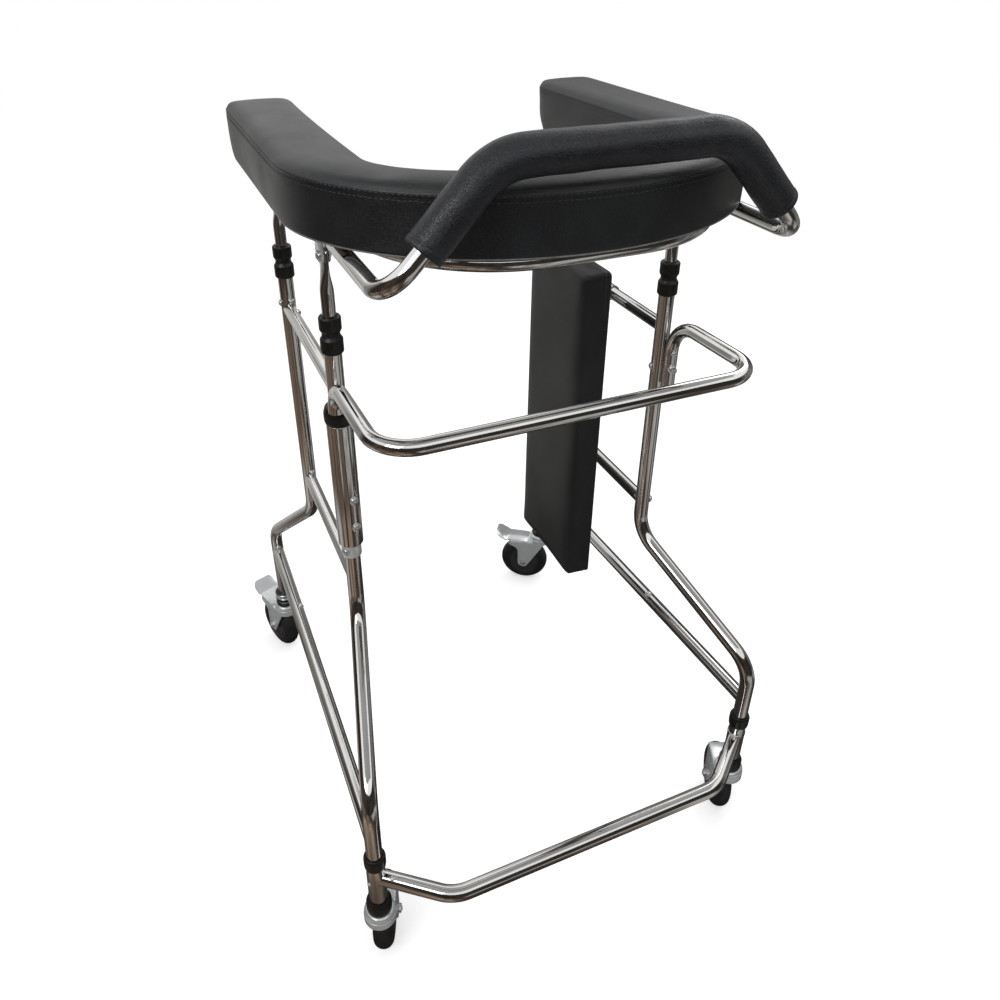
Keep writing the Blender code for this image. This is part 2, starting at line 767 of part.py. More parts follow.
def layered(levels):
    """A solid through matching plan outlines, given as (outline, height) from the bottom up."""
    bm = bmesh.new()
    rings = [[bm.verts.new((x, y, z)) for x, y in outline] for outline, z in levels]
    skin(bm, rings)
    bm.faces.new(rings[0][::-1])
    bm.faces.new(rings[-1])
    return mesh_from(bm)


board_top_z = pad_bottom_z + board_thickness
board_outline = horseshoe(board_inset, pad_rear_sweep)
board = layered([(board_outline, pad_bottom_z), (board_outline, board_top_z)])
finish_object("pad_board", board, "plywood", round_piece=False)
levels = [(horseshoe(board_inset / 2, pad_rear_sweep), pad_bottom_z)]
for share in (0.3, 0.6, 1.0):
    sweep = pad_rear_sweep * (1 - share) ** 2
    levels.append((horseshoe(0.0, sweep), pad_bottom_z + pad_sweep_height * share))
for angle in (0.0, 35.0, 65.0, 90.0):
    a = math.radians(angle)
    inset = pad_edge_round * (1 - math.cos(a))
    levels.append((horseshoe(inset), pad_top_z - pad_edge_round * (1 - math.sin(a))))
pad = layered(levels)
recess_outline = horseshoe(board_inset - gap, pad_rear_sweep)
recess_levels = (pad_bottom_z - board_thickness, board_top_z + gap)
recess = layered([(recess_outline, z) for z in recess_levels])
finish_object("forearm_pad", combined(pad, "DIFFERENCE", [recess]), "black_leather")

# U-shaped tube screwed under the board
support_radius = support_tube_diameter / 2
support_z = pad_bottom_z - gap - support_radius
bar = rod([
    (-support_tube_x, support_tube_rear, support_z),
    (-support_tube_x, front_post_y - support_tube_reach, support_z),
    (support_tube_x, front_post_y - support_tube_reach, support_z),
    (support_tube_x, support_tube_rear, support_z),
], [support_tube_radius] * 2, support_radius, steps=5)
finish_object("pad_support_tube", bar, "chrome")

# Arched handle with its soft sleeve; the legs run back under the board and end in saddle blocks
handle_radius = handle_diameter / 2
leg_z = pad_bottom_z - handle_leg_drop - handle_radius
low_corner = Vector((handle_leg_x, front_post_y - handle_reach, leg_z))
top_corner = Vector((handle_top_x, front_post_y - handle_top_reach, handle_top_z))
mirror = Vector((-1, 1, 1))
handle_corners = [
    Vector((-handle_leg_x, front_post_y - handle_leg_rear, leg_z)),
    low_corner * mirror,
    top_corner * mirror,
    top_corner,
    low_corner,
    Vector((handle_leg_x, front_post_y - handle_leg_rear, leg_z)),
]
handle_bends = [handle_low_radius, handle_top_radius, handle_top_radius, handle_low_radius]
bar = rod(handle_corners, handle_bends, handle_radius, steps=4)
saddles = []
plug_y = front_post_y - handle_leg_rear - handle_radius / 2
for s in sides.values():
    saddles.append(block(
        (s * handle_leg_x - handle_plug_width / 2, plug_y - handle_plug_length, leg_z + handle_radius / 3),
        (s * handle_leg_x + handle_plug_width / 2, plug_y, pad_bottom_z - gap),
    ))
finish_object("handle_tube", combined(bar, "UNION", saddles), "chrome")

grip_start = low_corner.lerp(top_corner, grip_low_share)
grip_corners = [grip_start * mirror, top_corner * mirror, top_corner, grip_start]
sleeve = pipe(grip_corners, [handle_top_radius] * 2, grip_diameter / 2, handle_radius + gap, steps=4)
finish_object("handle_grip", sleeve, "grip_foam")

# Flip-up seat board, hung from the right upper rail inside the right side frame
rest_reach = 2 * post_x
rest_z = upper_rail_z - rest_reach
seat_outer_x = seat_inner_x + seat_thickness
seat_top_z = upper_rail_z + seat_top_above_rail
seat_bottom_z = rest_z - seat_rest_height / 2 - seat_tail
seat_middle_y = (front_post_y + rear_post_y) / 2 + seat_shift_y
seat = block(
    (seat_inner_x, seat_middle_y - seat_width / 2, seat_bottom_z),
    (seat_outer_x, seat_middle_y + seat_width / 2, seat_top_z),
    bevel=seat_edge_radius, segments=3,
)
finish_object("seat_board", seat, "black_leather")

clip_bore = side_rail_radius + seat_turn_clearance
clip_radius = clip_bore + seat_clip_wall
clip_plate_x = seat_outer_x + gap
bore_half = seat_clip_width
plate_half_height = seat_clip_plate_height / 2
plate_half_width = seat_clip_plate_width / 2
for label, offset in (("front", -0.5), ("rear", 0.5)):
    y = seat_middle_y + offset * seat_clip_spacing
    half = seat_clip_width / 2
    base = block(
        (clip_plate_x, y - plate_half_width, upper_rail_z - plate_half_height),
        (clip_plate_x + seat_clip_plate, y + plate_half_width, upper_rail_z + plate_half_height),
    )
    arm_half = half - seat_clip_plate / 2
    arm = block((clip_plate_x + seat_clip_plate / 3, y - arm_half, upper_rail_z - clip_radius * 0.8),
                (post_x, y + arm_half, upper_rail_z + clip_radius * 0.8))
    along_y = Matrix.Translation((post_x, y, upper_rail_z)) @ Matrix.Rotation(math.pi / 2, 4, "X")
    barrel = placed(pin(clip_radius, half, round_sides), along_y)
    bore = placed(pin(clip_bore, bore_half, round_sides), along_y)
    clip = combined(combined(base, "UNION", [arm, barrel]), "DIFFERENCE", [bore])
    finish_object(f"{label}_seat_hinge", clip, "zinc")
    rest = block(
        (clip_plate_x, y - half, rest_z - seat_rest_height / 2),
        (post_x, y + half, rest_z + seat_rest_height / 2),
    )
    along_y = Matrix.Translation((post_x, y, rest_z)) @ Matrix.Rotation(math.pi / 2, 4, "X")
    bore = placed(pin(clip_bore, bore_half, round_sides), along_y)
    rest = combined(rest, "DIFFERENCE", [bore])
    finish_object(f"{label}_seat_rest", rest, "black_plastic", round_piece=False)

# Caster pieces, modelled with the swivel axis on Z and the wheel trailing towards +X
half_width = wheel_width / 2
axle_bore = axle_radius + axle_clearance
tread = []
for i in range(3):
    a = math.radians(90.0 * i / 2)
    crown = wheel_tread_radius * (1 - math.cos(a)) * 0.6
    tread.append((wheel_radius - crown, half_width - wheel_tread_radius * (1 - math.sin(a))))
half_profile = [(axle_bore, hub_boss_width / 2), (hub_boss_radius, hub_boss_width / 2)]
disc = half_width - wheel_recess
half_profile += [(hub_boss_radius, disc), (hub_radius - wheel_recess / 2, disc)]
half_profile += [(hub_radius, half_width)] + tread[::-1]
wheel_profile = half_profile + [(r, -h) for r, h in reversed(half_profile)]
wheel = turned(wheel_profile, steps=24, hollow=True)


def axle_place(trail_length, offset=0.0, turn=math.pi / 2):
    return Matrix.Translation((trail_length, offset, wheel_radius)) @ Matrix.Rotation(turn, 4, "X")


def fork_mesh(end):
    """Top plate, two tapered side plates, swivel head, king pin and axle bolt as one piece."""
    trail_length, top = trail[end], fork_top[end]
    with_ear = end == "rear"
    under = top - fork_plate
    ear = trail_length + (fork_ear_length if with_ear else fork_axle_end_radius + fork_plate)
    pivot_x = trail_length + pedal_pivot_reach
    outline = [(-fork_stem_reach, top), (-fork_stem_reach, top - fork_skirt)]
    outline += arc((trail_length, wheel_radius), fork_axle_end_radius, 228.0, 360.0, 6)
    outline += [(trail_length + fork_axle_end_radius, top - 5 * fork_skirt), (ear, top - 2.5 * fork_skirt)]
    if with_ear:
        outline += [(ear, top - fork_skirt / 2), (pivot_x, top)]
    else:
        outline.append((ear, top))
    inner, outer = fork_gap / 2, fork_gap / 2 + fork_plate
    plates = [plate(outline, "Y", inner, outer), plate(outline, "Y", -outer, -inner)]
    step = fork_head_height / 2
    head = turned([
        (0.0, top - fork_skirt),
        (fork_head_radius, top - fork_skirt),
        (fork_head_radius, top + step - 0.001),
        (fork_head_radius - 0.0014, top + step),
        (fork_head_radius - 0.0014, top + 2 * step - 0.002),
        (fork_head_radius - 0.0034, top + 2 * step),
        (king_pin_radius, top + 2 * step),
        (king_pin_radius, top + 2 * step + king_pin_height),
        (0.0, top + 2 * step + king_pin_height),
    ], steps=20)
    axle_half = outer + fork_plate / 2
    axle = placed(pin(axle_radius, axle_half), axle_place(trail_length))
    nut_shape = turned([
        (0.0, 0.0),
        (axle_nut_radius, 0.0),
        (axle_nut_radius, axle_nut_height * 0.7),
        (axle_nut_radius * 0.7, axle_nut_height),
        (0.0, axle_nut_height),
    ], 6)
    nut_offset = outer - fork_plate / 4
    nuts = [
        placed(nut_shape, axle_place(trail_length, s * nut_offset, -s * math.pi / 2))
        for s in (-1, 1)
    ]
    deck_end = pivot_x - 2 * pedal_barrel_radius if with_ear else ear
    deck = block((-fork_stem_reach, gap - outer, under), (deck_end, outer - gap, top))
    return combined(deck, "UNION", plates + [head, axle] + nuts)


def pedal_mesh():
    """Rocking pedal: a flat plate over the fork on a pin, widening to a raised paddle."""
    trail_length, deck_z = trail["rear"], fork_top["rear"]
    start_x = fork_head_radius + pedal_stem_clearance
    pivot_x = trail_length + pedal_pivot_reach
    heel_x = trail_length + pedal_heel_reach
    tip_x = trail_length + pedal_tip_reach
    seat_z = deck_z + gap
    tongue, paddle = pedal_tongue_width / 2, pedal_paddle_width / 2
    top_line = [(start_x, seat_z + pedal_plate), (heel_x, seat_z + pedal_plate)]
    for share in (0.35, 0.70, 1.0):
        rise = pedal_rise * share ** 0.8
        top_line.append((heel_x + (tip_x - heel_x) * share, seat_z + pedal_plate + rise))
    low_line = [(x, z - pedal_plate) for x, z in top_line]
    sheet = plate(top_line + low_line[::-1], "Y", -paddle, paddle)
    corner = 0.6 * paddle
    plan = [(start_x - pedal_plate, -tongue), (heel_x, -tongue), (heel_x + 2 * pedal_plate, -paddle)]
    plan += arc((tip_x - corner, corner - paddle), corner, 270.0, 360.0, 4)
    plan += [(x, -y) for x, y in reversed(plan)]
    keep = plate(plan, "Z", wheel_radius, seat_z + 2 * pedal_rise)
    sheet = combined(sheet, "INTERSECT", [keep])
    barrel_z = deck_z - pedal_barrel_radius / 2
    half = fork_gap / 2 - gap
    barrel = placed(
        pin(pedal_barrel_radius, half),
        Matrix.Translation((pivot_x, 0, barrel_z)) @ Matrix.Rotation(math.pi / 2, 4, "X"),
    )
    return combined(sheet, "UNION", [barrel])


spigot_radius = bore_radius - gap
pin_bore = king_pin_radius + axle_clearance
socket_top = leg_bottom - gap


def socket_mesh(end):
    """Black stem socket; the rear ones are stepped like a stack of washers."""
    head_top = fork_top[end] + fork_head_height
    socket_bottom = head_top + gap
    profile = [(0.0, socket_bottom)]
    if end == "rear":
        step = (socket_top - socket_bottom) / socket_ring_count
        for k in range(socket_ring_count):
            radius = socket_radius - socket_groove * (k % 2)
            profile += [(radius, socket_bottom + k * step), (radius, socket_bottom + (k + 1) * step)]
    else:
        profile += [(socket_radius, socket_bottom), (socket_radius, socket_top - 0.008)]
        profile += [(socket_radius - 0.004, socket_top)]
    spigot_top = socket_top + socket_spigot_height
    profile += [(spigot_radius, socket_top), (spigot_radius, spigot_top - 0.002)]
    profile += [(spigot_radius - 0.002, spigot_top), (0.0, spigot_top)]
    bore_top = head_top + king_pin_height + king_pin_clearance
    bore_bottom = socket_bottom - fork_plate
    bore = turned([(0.0, bore_bottom), (pin_bore, bore_bottom), (pin_bore, bore_top), (0.0, bore_top)])
    return combined(turned(profile), "DIFFERENCE", [bore])


wheels = {end: placed(wheel, axle_place(length)) for end, length in trail.items()}
forks = {end: fork_mesh(end) for end in trail}
pedal = pedal_mesh()
for (end, side), foot in feet.items():
    turn = caster_turn[f"{end}_{side}"]
    place = (foot.x, foot.y, 0.0)
    finish_object(f"{side}_{end}_caster_socket", socket_mesh(end), "black_plastic", location=place)
    finish_object(f"{side}_{end}_caster_fork", forks[end].copy(), "zinc", location=place, turn=turn)
    finish_object(f"{side}_{end}_caster_wheel", wheels[end].copy(), "tyre_rubber", location=place, turn=turn)
    if end == "rear":
        finish_object(f"{side}_brake_pedal", pedal.copy(), "zinc", location=place, turn=turn)
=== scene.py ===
import math

import bpy
from mathutils import Matrix, Quaternion, Vector, noise


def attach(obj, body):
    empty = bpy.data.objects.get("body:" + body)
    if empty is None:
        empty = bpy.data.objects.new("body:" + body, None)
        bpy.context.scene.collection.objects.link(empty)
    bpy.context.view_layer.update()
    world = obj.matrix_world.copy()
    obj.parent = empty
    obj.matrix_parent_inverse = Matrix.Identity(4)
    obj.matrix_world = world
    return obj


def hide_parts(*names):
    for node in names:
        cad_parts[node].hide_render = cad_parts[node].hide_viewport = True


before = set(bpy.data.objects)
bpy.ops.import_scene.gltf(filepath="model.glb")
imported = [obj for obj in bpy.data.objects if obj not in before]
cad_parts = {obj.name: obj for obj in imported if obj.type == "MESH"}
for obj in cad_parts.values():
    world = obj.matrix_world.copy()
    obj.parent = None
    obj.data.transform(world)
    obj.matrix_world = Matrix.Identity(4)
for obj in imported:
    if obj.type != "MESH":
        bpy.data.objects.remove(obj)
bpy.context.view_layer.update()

# Places that many pieces share, in metres
walker = {
    "postX": 0.236, "postY": {"front": -0.108, "rear": 0.165}, "postRadius": 0.0111, "postTop": 0.886,
    "railZ": {"upper": 0.820, "mid": 0.520}, "lowerRailZ": {"front": 0.283, "rear": 0.260},
    "footX": {"front": 0.296, "rear": 0.287}, "footY": {"front": -0.342, "rear": 0.327},
    "legBottom": 0.1555, "boardZ": 1.035,
    "fit": 0.0003,  # the gap between neighbours that don't move
}
sides = {"left": -1, "right": 1}
ends = ("front", "rear")
fit = walker["fit"]


# Helpers for modelling
def pickOnly(*pieces):
    bpy.ops.object.select_all(action="DESELECT")
    for piece in pieces:
        piece.select_set(True)
    if pieces:
        bpy.context.view_layer.objects.active = pieces[-1]


def editAll():
    bpy.ops.object.mode_set(mode="EDIT")
    bpy.ops.mesh.select_all(action="SELECT")


def leaveEdit():
    bpy.ops.object.mode_set(mode="OBJECT")


def facesOut(mergeAt=None):
    editAll()
    if mergeAt:
        bpy.ops.mesh.remove_doubles(threshold=mergeAt)
    bpy.ops.mesh.normals_make_consistent(inside=False)
    leaveEdit()


def pullAlongY(reach):  # extrudes all of the active piece
    editAll()
    bpy.ops.mesh.extrude_region_move(TRANSFORM_OT_translate={"value": (0, reach, 0)})
    leaveEdit()


def settle(piece):  # puts the object's place into its mesh
    pickOnly(piece)
    bpy.ops.object.transform_apply(location=True, rotation=True, scale=True)
    return piece


def moved(piece, matrix):
    piece.data.transform(matrix)
    piece.data.update()
    return piece


def copyOf(piece, name, matrix):
    twin = piece.copy()
    twin.data = piece.data.copy()
    twin.name = name
    bpy.context.scene.collection.objects.link(twin)
    return moved(twin, matrix)


def smoothOver(piece, angle):
    pickOnly(piece)
    bpy.ops.object.shade_smooth_by_angle(angle=math.radians(angle))
    return piece


def changed(piece, kind, **settings):  # one modifier, set and applied
    modifier = piece.modifiers.new(kind.lower(), kind)
    for key, value in settings.items():
        setattr(modifier, key, value)
    pickOnly(piece)
    bpy.ops.object.modifier_apply(modifier=modifier.name)
    return piece


def bevelled(piece, width, segments=3, angle=30.0):
    return changed(piece, "BEVEL", width=width, segments=segments, limit_method="ANGLE",
                   angle_limit=math.radians(angle))


def thickened(piece, thickness):
    changed(piece, "SOLIDIFY", thickness=thickness, offset=0)
    facesOut()
    return piece


def cutBy(piece, cutter, operation="DIFFERENCE"):
    changed(piece, "BOOLEAN", solver="EXACT", operation=operation, object=cutter)
    bpy.data.objects.remove(cutter)
    return piece


def joined(name, pieces):
    pickOnly(*pieces)
    bpy.ops.object.join()
    piece = bpy.context.object
    piece.name = name
    return piece


def meshPiece(name, verts, faces):
    mesh = bpy.data.meshes.new(name)
    mesh.from_pydata([tuple(v) for v in verts], [], faces)
    piece = bpy.data.objects.new(name, mesh)
    bpy.context.scene.collection.objects.link(piece)
    return piece


def drawLine(name, points, fill=False):  # a chain of edges, drawn point by point
    pickOnly()
    bpy.ops.mesh.primitive_plane_add(size=0.01, location=(0, 0, 0))
    piece = bpy.context.object
    piece.name = name
    bpy.ops.object.mode_set(mode="EDIT")
    bpy.ops.mesh.merge(type="CENTER")
    bpy.ops.transform.translate(value=points[0])
    for here, there in zip(points, points[1:]):
        step = Vector(there) - Vector(here)
        bpy.ops.mesh.extrude_vertices_move(TRANSFORM_OT_translate={"value": step})
    if fill:
        bpy.ops.mesh.select_all(action="SELECT")
        bpy.ops.mesh.edge_face_add()
    leaveEdit()
    return piece


def lathed(name, profile, steps=48):  # profile of (radius, height) spun round Z
    piece = drawLine(name, [(radius, 0, height) for radius, height in profile])
    editAll()
    bpy.ops.mesh.spin(steps=steps, angle=2 * math.pi, center=(0, 0, 0), axis=(0, 0, 1))
    facesOut(mergeAt=0.00001)
    return piece


def roundedProfile(points, radius, steps=4):  # rounds the inner corners of a line
    line = [Vector(points[0])]
    for before, here, after in zip(points, points[1:], points[2:]):
        before, here, after = Vector(before), Vector(here), Vector(after)
        reach = min(radius, (before - here).length * 0.45, (after - here).length * 0.45)
        start = here + (before - here).normalized() * reach
        end = here + (after - here).normalized() * reach
        for i in range(steps + 1):
            t = i / steps
            line.append(start * (1 - t) ** 2 + here * 2 * t * (1 - t) + end * t ** 2)
    line.append(Vector(points[-1]))
    return line


def heading(angle):  # the level direction at an angle in degrees from +X
    return Vector((math.cos(math.radians(angle)), math.sin(math.radians(angle)), 0))


def arc(radius, first, last, steps, acrossX=0.0, up=0.0):  # points of a circle's part, in a flat plane
    for i in range(steps + 1):
        a = math.radians(first + (last - first) * i / steps)
        yield acrossX + radius * math.cos(a), up + radius * math.sin(a)


def slab(name, low, high, soften=0.0):
    pickOnly()
    low, high = Vector(low), Vector(high)
    bpy.ops.mesh.primitive_cube_add(size=1, location=(low + high) / 2, scale=high - low)
    piece = settle(bpy.context.object)
    piece.name = name
    return bevelled(piece, soften) if soften else piece


def bendPoints(corners, bends, steps):
    corners = [Vector(c) for c in corners]
    points = [corners[0]]
    for k, radius in enumerate(bends, 1):
        into = (corners[k] - corners[k - 1]).normalized()
        out = (corners[k + 1] - corners[k]).normalized()
        turn = into.angle(out)
        setback = radius * math.tan(turn / 2)
        inward = (out - into * into.dot(out)).normalized()
        centre = corners[k] - into * setback + inward * radius
        arm = corners[k] - into * setback - centre
        axis = into.cross(out).normalized()
        points += [centre + Quaternion(axis, turn * i / steps) @ arm for i in range(steps + 1)]
    return points + [corners[-1]]


def tubeAlong(name, points, radius, swell=None, rings=7):
    pickOnly()
    bpy.ops.curve.primitive_nurbs_path_add(location=(0, 0, 0))
    piece = bpy.context.object
    piece.name = name
    line = piece.data
    line.splines.clear()
    spline = line.splines.new("POLY")
    spline.points.add(len(points) - 1)
    for i, place in enumerate(points):
        spline.points[i].co = (*place, 1.0)
        spline.points[i].radius = swell[i] if swell else 1.0
    line.bevel_depth, line.bevel_resolution, line.use_fill_caps = radius, rings, True
    pickOnly(piece)
    bpy.ops.object.convert(target="MESH")
    facesOut(mergeAt=0.00001)
    return bpy.context.object


def bentTube(name, corners, bends, radius, steps=10):
    return tubeAlong(name, bendPoints(corners, bends, steps), radius)


def painted(piece, *names):
    piece.data.materials.clear()
    for name in names:
        piece.data.materials.append(finishes[name])
    return piece


def finishPiece(piece, body, finish, replaced=(), angle=35.0):
    if finish:
        painted(piece, finish)
    smoothOver(piece, angle)
    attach(piece, body)
    if replaced:
        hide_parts(*replaced)
    return piece


# Nodes, and the groups for effects that several finishes share
def wired(tree, kind, inputs, output=0, **settings):  # adds a node, fills its inputs and hands on one output
    node = tree.nodes.new("ShaderNode" + kind)
    for key, value in settings.items():
        setattr(node, key, value)
    for socket, source in inputs.items():
        if hasattr(source, "is_output"):
            tree.links.new(source, node.inputs[socket])
        else:
            node.inputs[socket].default_value = source
    return node.outputs[output]


def combine(tree, operation, first, second):
    return wired(tree, "Math", {0: first, 1: second}, operation=operation)


def ranged(tree, value, low, high, toLow=0.0, toHigh=1.0):
    return wired(tree, "MapRange", {
        "Value": value, "From Min": low, "From Max": high, "To Min": toLow, "To Max": toHigh})


def newGroup(name, inputs, outputs):
    group = bpy.data.node_groups.new(name, "ShaderNodeTree")
    for label, value in inputs.items():
        kind = "NodeSocketFloat" if isinstance(value, float) else "NodeSocketVector"
        socket = group.interface.new_socket(name=label, in_out="INPUT", socket_type=kind)
        if value is not None:
            socket.default_value = value
    for label in outputs:
        group.interface.new_socket(name=label, in_out="OUTPUT", socket_type="NodeSocketFloat")
    return group, group.nodes.new("NodeGroupInput").outputs, group.nodes.new("NodeGroupOutput").inputs


def makePatches():  # soft uneven patches between two values
    group, start, end = newGroup(
        "unevenPatches", {"Place": None, "Scale": 20.0, "Low": 0.1, "High": 0.2}, ["Value"])
    patches = wired(group, "TexNoise", {
        "Vector": start["Place"], "Scale": start["Scale"], "Detail": 4.0, "Roughness": 0.6})
    group.links.new(ranged(group, patches, 0.32, 0.68, start["Low"], start["High"]), end["Value"])
    return group


def makeGrain():  # pebbled vinyl skin with faint creases
    settings = {"Place": None, "Pebbles": 700.0, "Creases": 18.0, "Crease Depth": 0.5}
    group, start, end = newGroup("vinylGrain", settings, ["Height", "Crease Shading"])
    drift = wired(group, "TexNoise", {"Vector": start["Place"], "Scale": 240.0, "Detail": 2.0}, "Color")
    nudged = wired(group, "MixRGB", {
        "Fac": 0.004, "Color1": start["Place"], "Color2": drift}, blend_type="ADD")
    pebbles = wired(group, "TexVoronoi", {
        "Vector": nudged, "Scale": start["Pebbles"]}, "Distance", feature="DISTANCE_TO_EDGE")
    pores = ranged(group, pebbles, 0.0, 0.12, 0.0, 0.35)
    folds = wired(group, "TexNoise", {
        "Vector": start["Place"], "Scale": start["Creases"], "Detail": 3.0, "Distortion": 0.8})
    deep = combine(group, "MULTIPLY", folds, start["Crease Depth"])
    group.links.new(combine(group, "ADD", pores, deep), end["Height"])
    # the crease noise also sets the colour: painted shade in the creases and painted sheen on the raised folds
    group.links.new(folds, end["Crease Shading"])
    return group


def makeBrushing():  # fine lines drawn along one axis
    group, start, end = newGroup(
        "fineLines", {"Place": None, "Stretch": (40.0, 40.0, 900.0), "Low": 0.2, "High": 0.4}, ["Value"])
    pulled = wired(group, "VectorMath", {0: start["Place"], 1: start["Stretch"]}, operation="MULTIPLY")
    lines = wired(group, "TexNoise", {"Vector": pulled, "Scale": 1.0, "Detail": 3.0})
    group.links.new(ranged(group, lines, 0.3, 0.7, start["Low"], start["High"]), end["Value"])
    return group


unevenPatches, vinylGrain, fineLines = makePatches(), makeGrain(), makeBrushing()


def startFinish(name):
    material = bpy.data.materials.new(name)
    material.use_nodes = True
    tree = material.node_tree
    return material, tree, tree.nodes["Principled BSDF"], wired(tree, "TexCoord", {}, "Object")


def patchesOn(tree, place, scale, low=0.0, high=1.0):
    return wired(tree, "Group", {
        "Place": place, "Scale": scale, "Low": low, "High": high}, node_tree=unevenPatches)


def twoTone(tree, shader, mask, look, stops=(0.0, 1.0)):
    tone = wired(tree, "ValToRGB", {"Fac": mask})
    for stop, position, colour in zip(tone.node.color_ramp.elements, stops, (look["dark"], look["light"])):
        stop.position, stop.color = position, (*colour, 1.0)
    tree.links.new(tone, shader.inputs["Base Color"])


def raiseSurface(tree, shader, height, strength, distance):
    bump = wired(tree, "Bump", {"Height": height, "Strength": strength, "Distance": distance})
    tree.links.new(bump, shader.inputs["Normal"])


def makeMetal(name, look):
    material, tree, shader, place = startFinish(name)
    shader.inputs["Metallic"].default_value = look["metallic"]
    haze = patchesOn(tree, place, look["patchScale"])
    twoTone(tree, shader, haze, look)
    low, high = look["roughness"]
    lines = wired(tree, "Group", {
        "Place": place, "Stretch": look["stretch"], "Low": low, "High": high}, node_tree=fineLines)
    tree.links.new(lines, shader.inputs["Roughness"])
    raiseSurface(tree, shader, haze, look["bump"], 0.0004)
    return material


def makeVinyl(name, look):
    material, tree, shader, place = startFinish(name)
    shader.inputs["Specular IOR Level"].default_value = look["gloss"]
    grain = wired(tree, "Group", {
        "Place": place, "Pebbles": look["pebbles"], "Creases": look["creases"],
        "Crease Depth": look["creaseDepth"]}, "Height", node_tree=vinylGrain)
    # base colour follows the creases: painted shade in them, painted sheen on the raised folds
    twoTone(tree, shader, grain.node.outputs["Crease Shading"], look, (0.35, 0.70))
    sheen = patchesOn(tree, place, look["patchScale"], *look["roughness"])
    tree.links.new(sheen, shader.inputs["Roughness"])
    raiseSurface(tree, shader, grain, look["bump"], 0.0006)
    return material


def makePlastic(name, look):
    material, tree, shader, place = startFinish(name)
    shader.inputs["Specular IOR Level"].default_value = look["gloss"]
    twoTone(tree, shader, patchesOn(tree, place, look["patchScale"]), look)
    skin = patchesOn(tree, place, 900.0, *look["roughness"])
    tree.links.new(skin, shader.inputs["Roughness"])
    raiseSurface(tree, shader, skin, look["bump"], 0.0004)
    return material


def makePlywood(name, look):
    material, tree, shader, place = startFinish(name)
    shader.inputs["Roughness"].default_value = look["roughness"]
    grain = wired(tree, "Group", {
        "Place": place, "Stretch": look["stretch"], "Low": 0.0, "High": 1.0}, node_tree=fineLines)
    layers = wired(tree, "TexWave", {
        "Vector": place, "Scale": 0.05 / look["plyThickness"], "Distortion": 0.4}, "Fac", bands_direction="Z")
    twoTone(tree, shader, combine(tree, "MULTIPLY", grain, layers), look)
    raiseSurface(tree, shader, grain, look["bump"], 0.0005)
    return material


looks = {
    "chromePlate": (makeMetal, {
        "dark": (0.68, 0.665, 0.65), "light": (0.80, 0.795, 0.79), "patchScale": 9.0,
        "stretch": (60.0, 60.0, 9.0), "roughness": (0.05, 0.12), "bump": 0.02, "metallic": 1.0}),
    "zincPlate": (makeMetal, {
        "dark": (0.60, 0.62, 0.63), "light": (0.70, 0.72, 0.73), "patchScale": 18.0,
        "stretch": (150.0, 150.0, 40.0), "roughness": (0.15, 0.22), "bump": 0.01, "metallic": 0.60}),
    "boltSteel": (makeMetal, {
        "dark": (0.58, 0.59, 0.60), "light": (0.72, 0.73, 0.74), "patchScale": 140.0,
        "stretch": (300.0, 300.0, 300.0), "roughness": (0.14, 0.26), "bump": 0.05, "metallic": 0.8}),
    "padVinyl": (makeVinyl, {
        "dark": (0.0064, 0.0074, 0.0086), "light": (0.0112, 0.0130, 0.0150), "pebbles": 520.0, "creases": 14.0,
        "creaseDepth": 1.1, "patchScale": 11.0, "roughness": (0.32, 0.42), "gloss": 0.56, "bump": 0.42}),
    "seatVinyl": (makeVinyl, {
        "dark": (0.0095, 0.0095, 0.0098), "light": (0.0150, 0.0150, 0.0155), "pebbles": 620.0, "creases": 8.0,
        "creaseDepth": 0.7, "patchScale": 7.0, "roughness": (0.42, 0.52), "gloss": 0.40, "bump": 0.24}),
    "gripVinyl": (makeVinyl, {
        "dark": (0.0072, 0.0082, 0.0112), "light": (0.0120, 0.0136, 0.0180), "pebbles": 380.0, "creases": 30.0,
        "creaseDepth": 0.8, "patchScale": 24.0, "roughness": (0.30, 0.38), "gloss": 0.55, "bump": 0.75}),
    "blackPlastic": (makePlastic, {
        "dark": (0.0050, 0.0049, 0.0046), "light": (0.0088, 0.0086, 0.0082), "patchScale": 90.0,
        "roughness": (0.28, 0.40), "gloss": 0.42, "bump": 0.10}),
    "tyreRubber": (makePlastic, {
        "dark": (0.0085, 0.0085, 0.0085), "light": (0.0165, 0.0160, 0.0155), "patchScale": 70.0,
        "roughness": (0.40, 0.56), "gloss": 0.45, "bump": 0.22}),
    "hubPlastic": (makePlastic, {
        "dark": (0.018, 0.018, 0.019), "light": (0.030, 0.030, 0.031), "patchScale": 60.0,
        "roughness": (0.34, 0.46), "gloss": 0.50, "bump": 0.10}),
    "seamThread": (makePlastic, {
        "dark": (0.030, 0.031, 0.033), "light": (0.066, 0.068, 0.071), "patchScale": 600.0,
        "roughness": (0.55, 0.75), "gloss": 0.40, "bump": 0.20}),
    # light grey colour of the pad's edge bead: a painted highlight along the pad's glossy black lower edge
    "beadHighlightGrey": (makePlastic, {
        "dark": (0.10, 0.10, 0.10), "light": (0.16, 0.16, 0.155), "patchScale": 80.0,
        "roughness": (0.35, 0.50), "gloss": 0.50, "bump": 0.10}),
    # plywood coloured very dark brown: part of this darkness is painted shade for the board's shadowed
    # underside and its reflection in the tubes
    "darkShadedPly": (makePlywood, {
        "dark": (0.026, 0.019, 0.014), "light": (0.060, 0.043, 0.030), "plyThickness": 0.0014,
        "stretch": (30.0, 700.0, 30.0), "roughness": 0.55, "bump": 0.2}),
}
finishes = {name: make(name, look) for name, (make, look) in looks.items()}
print("finishes made:", len(finishes))
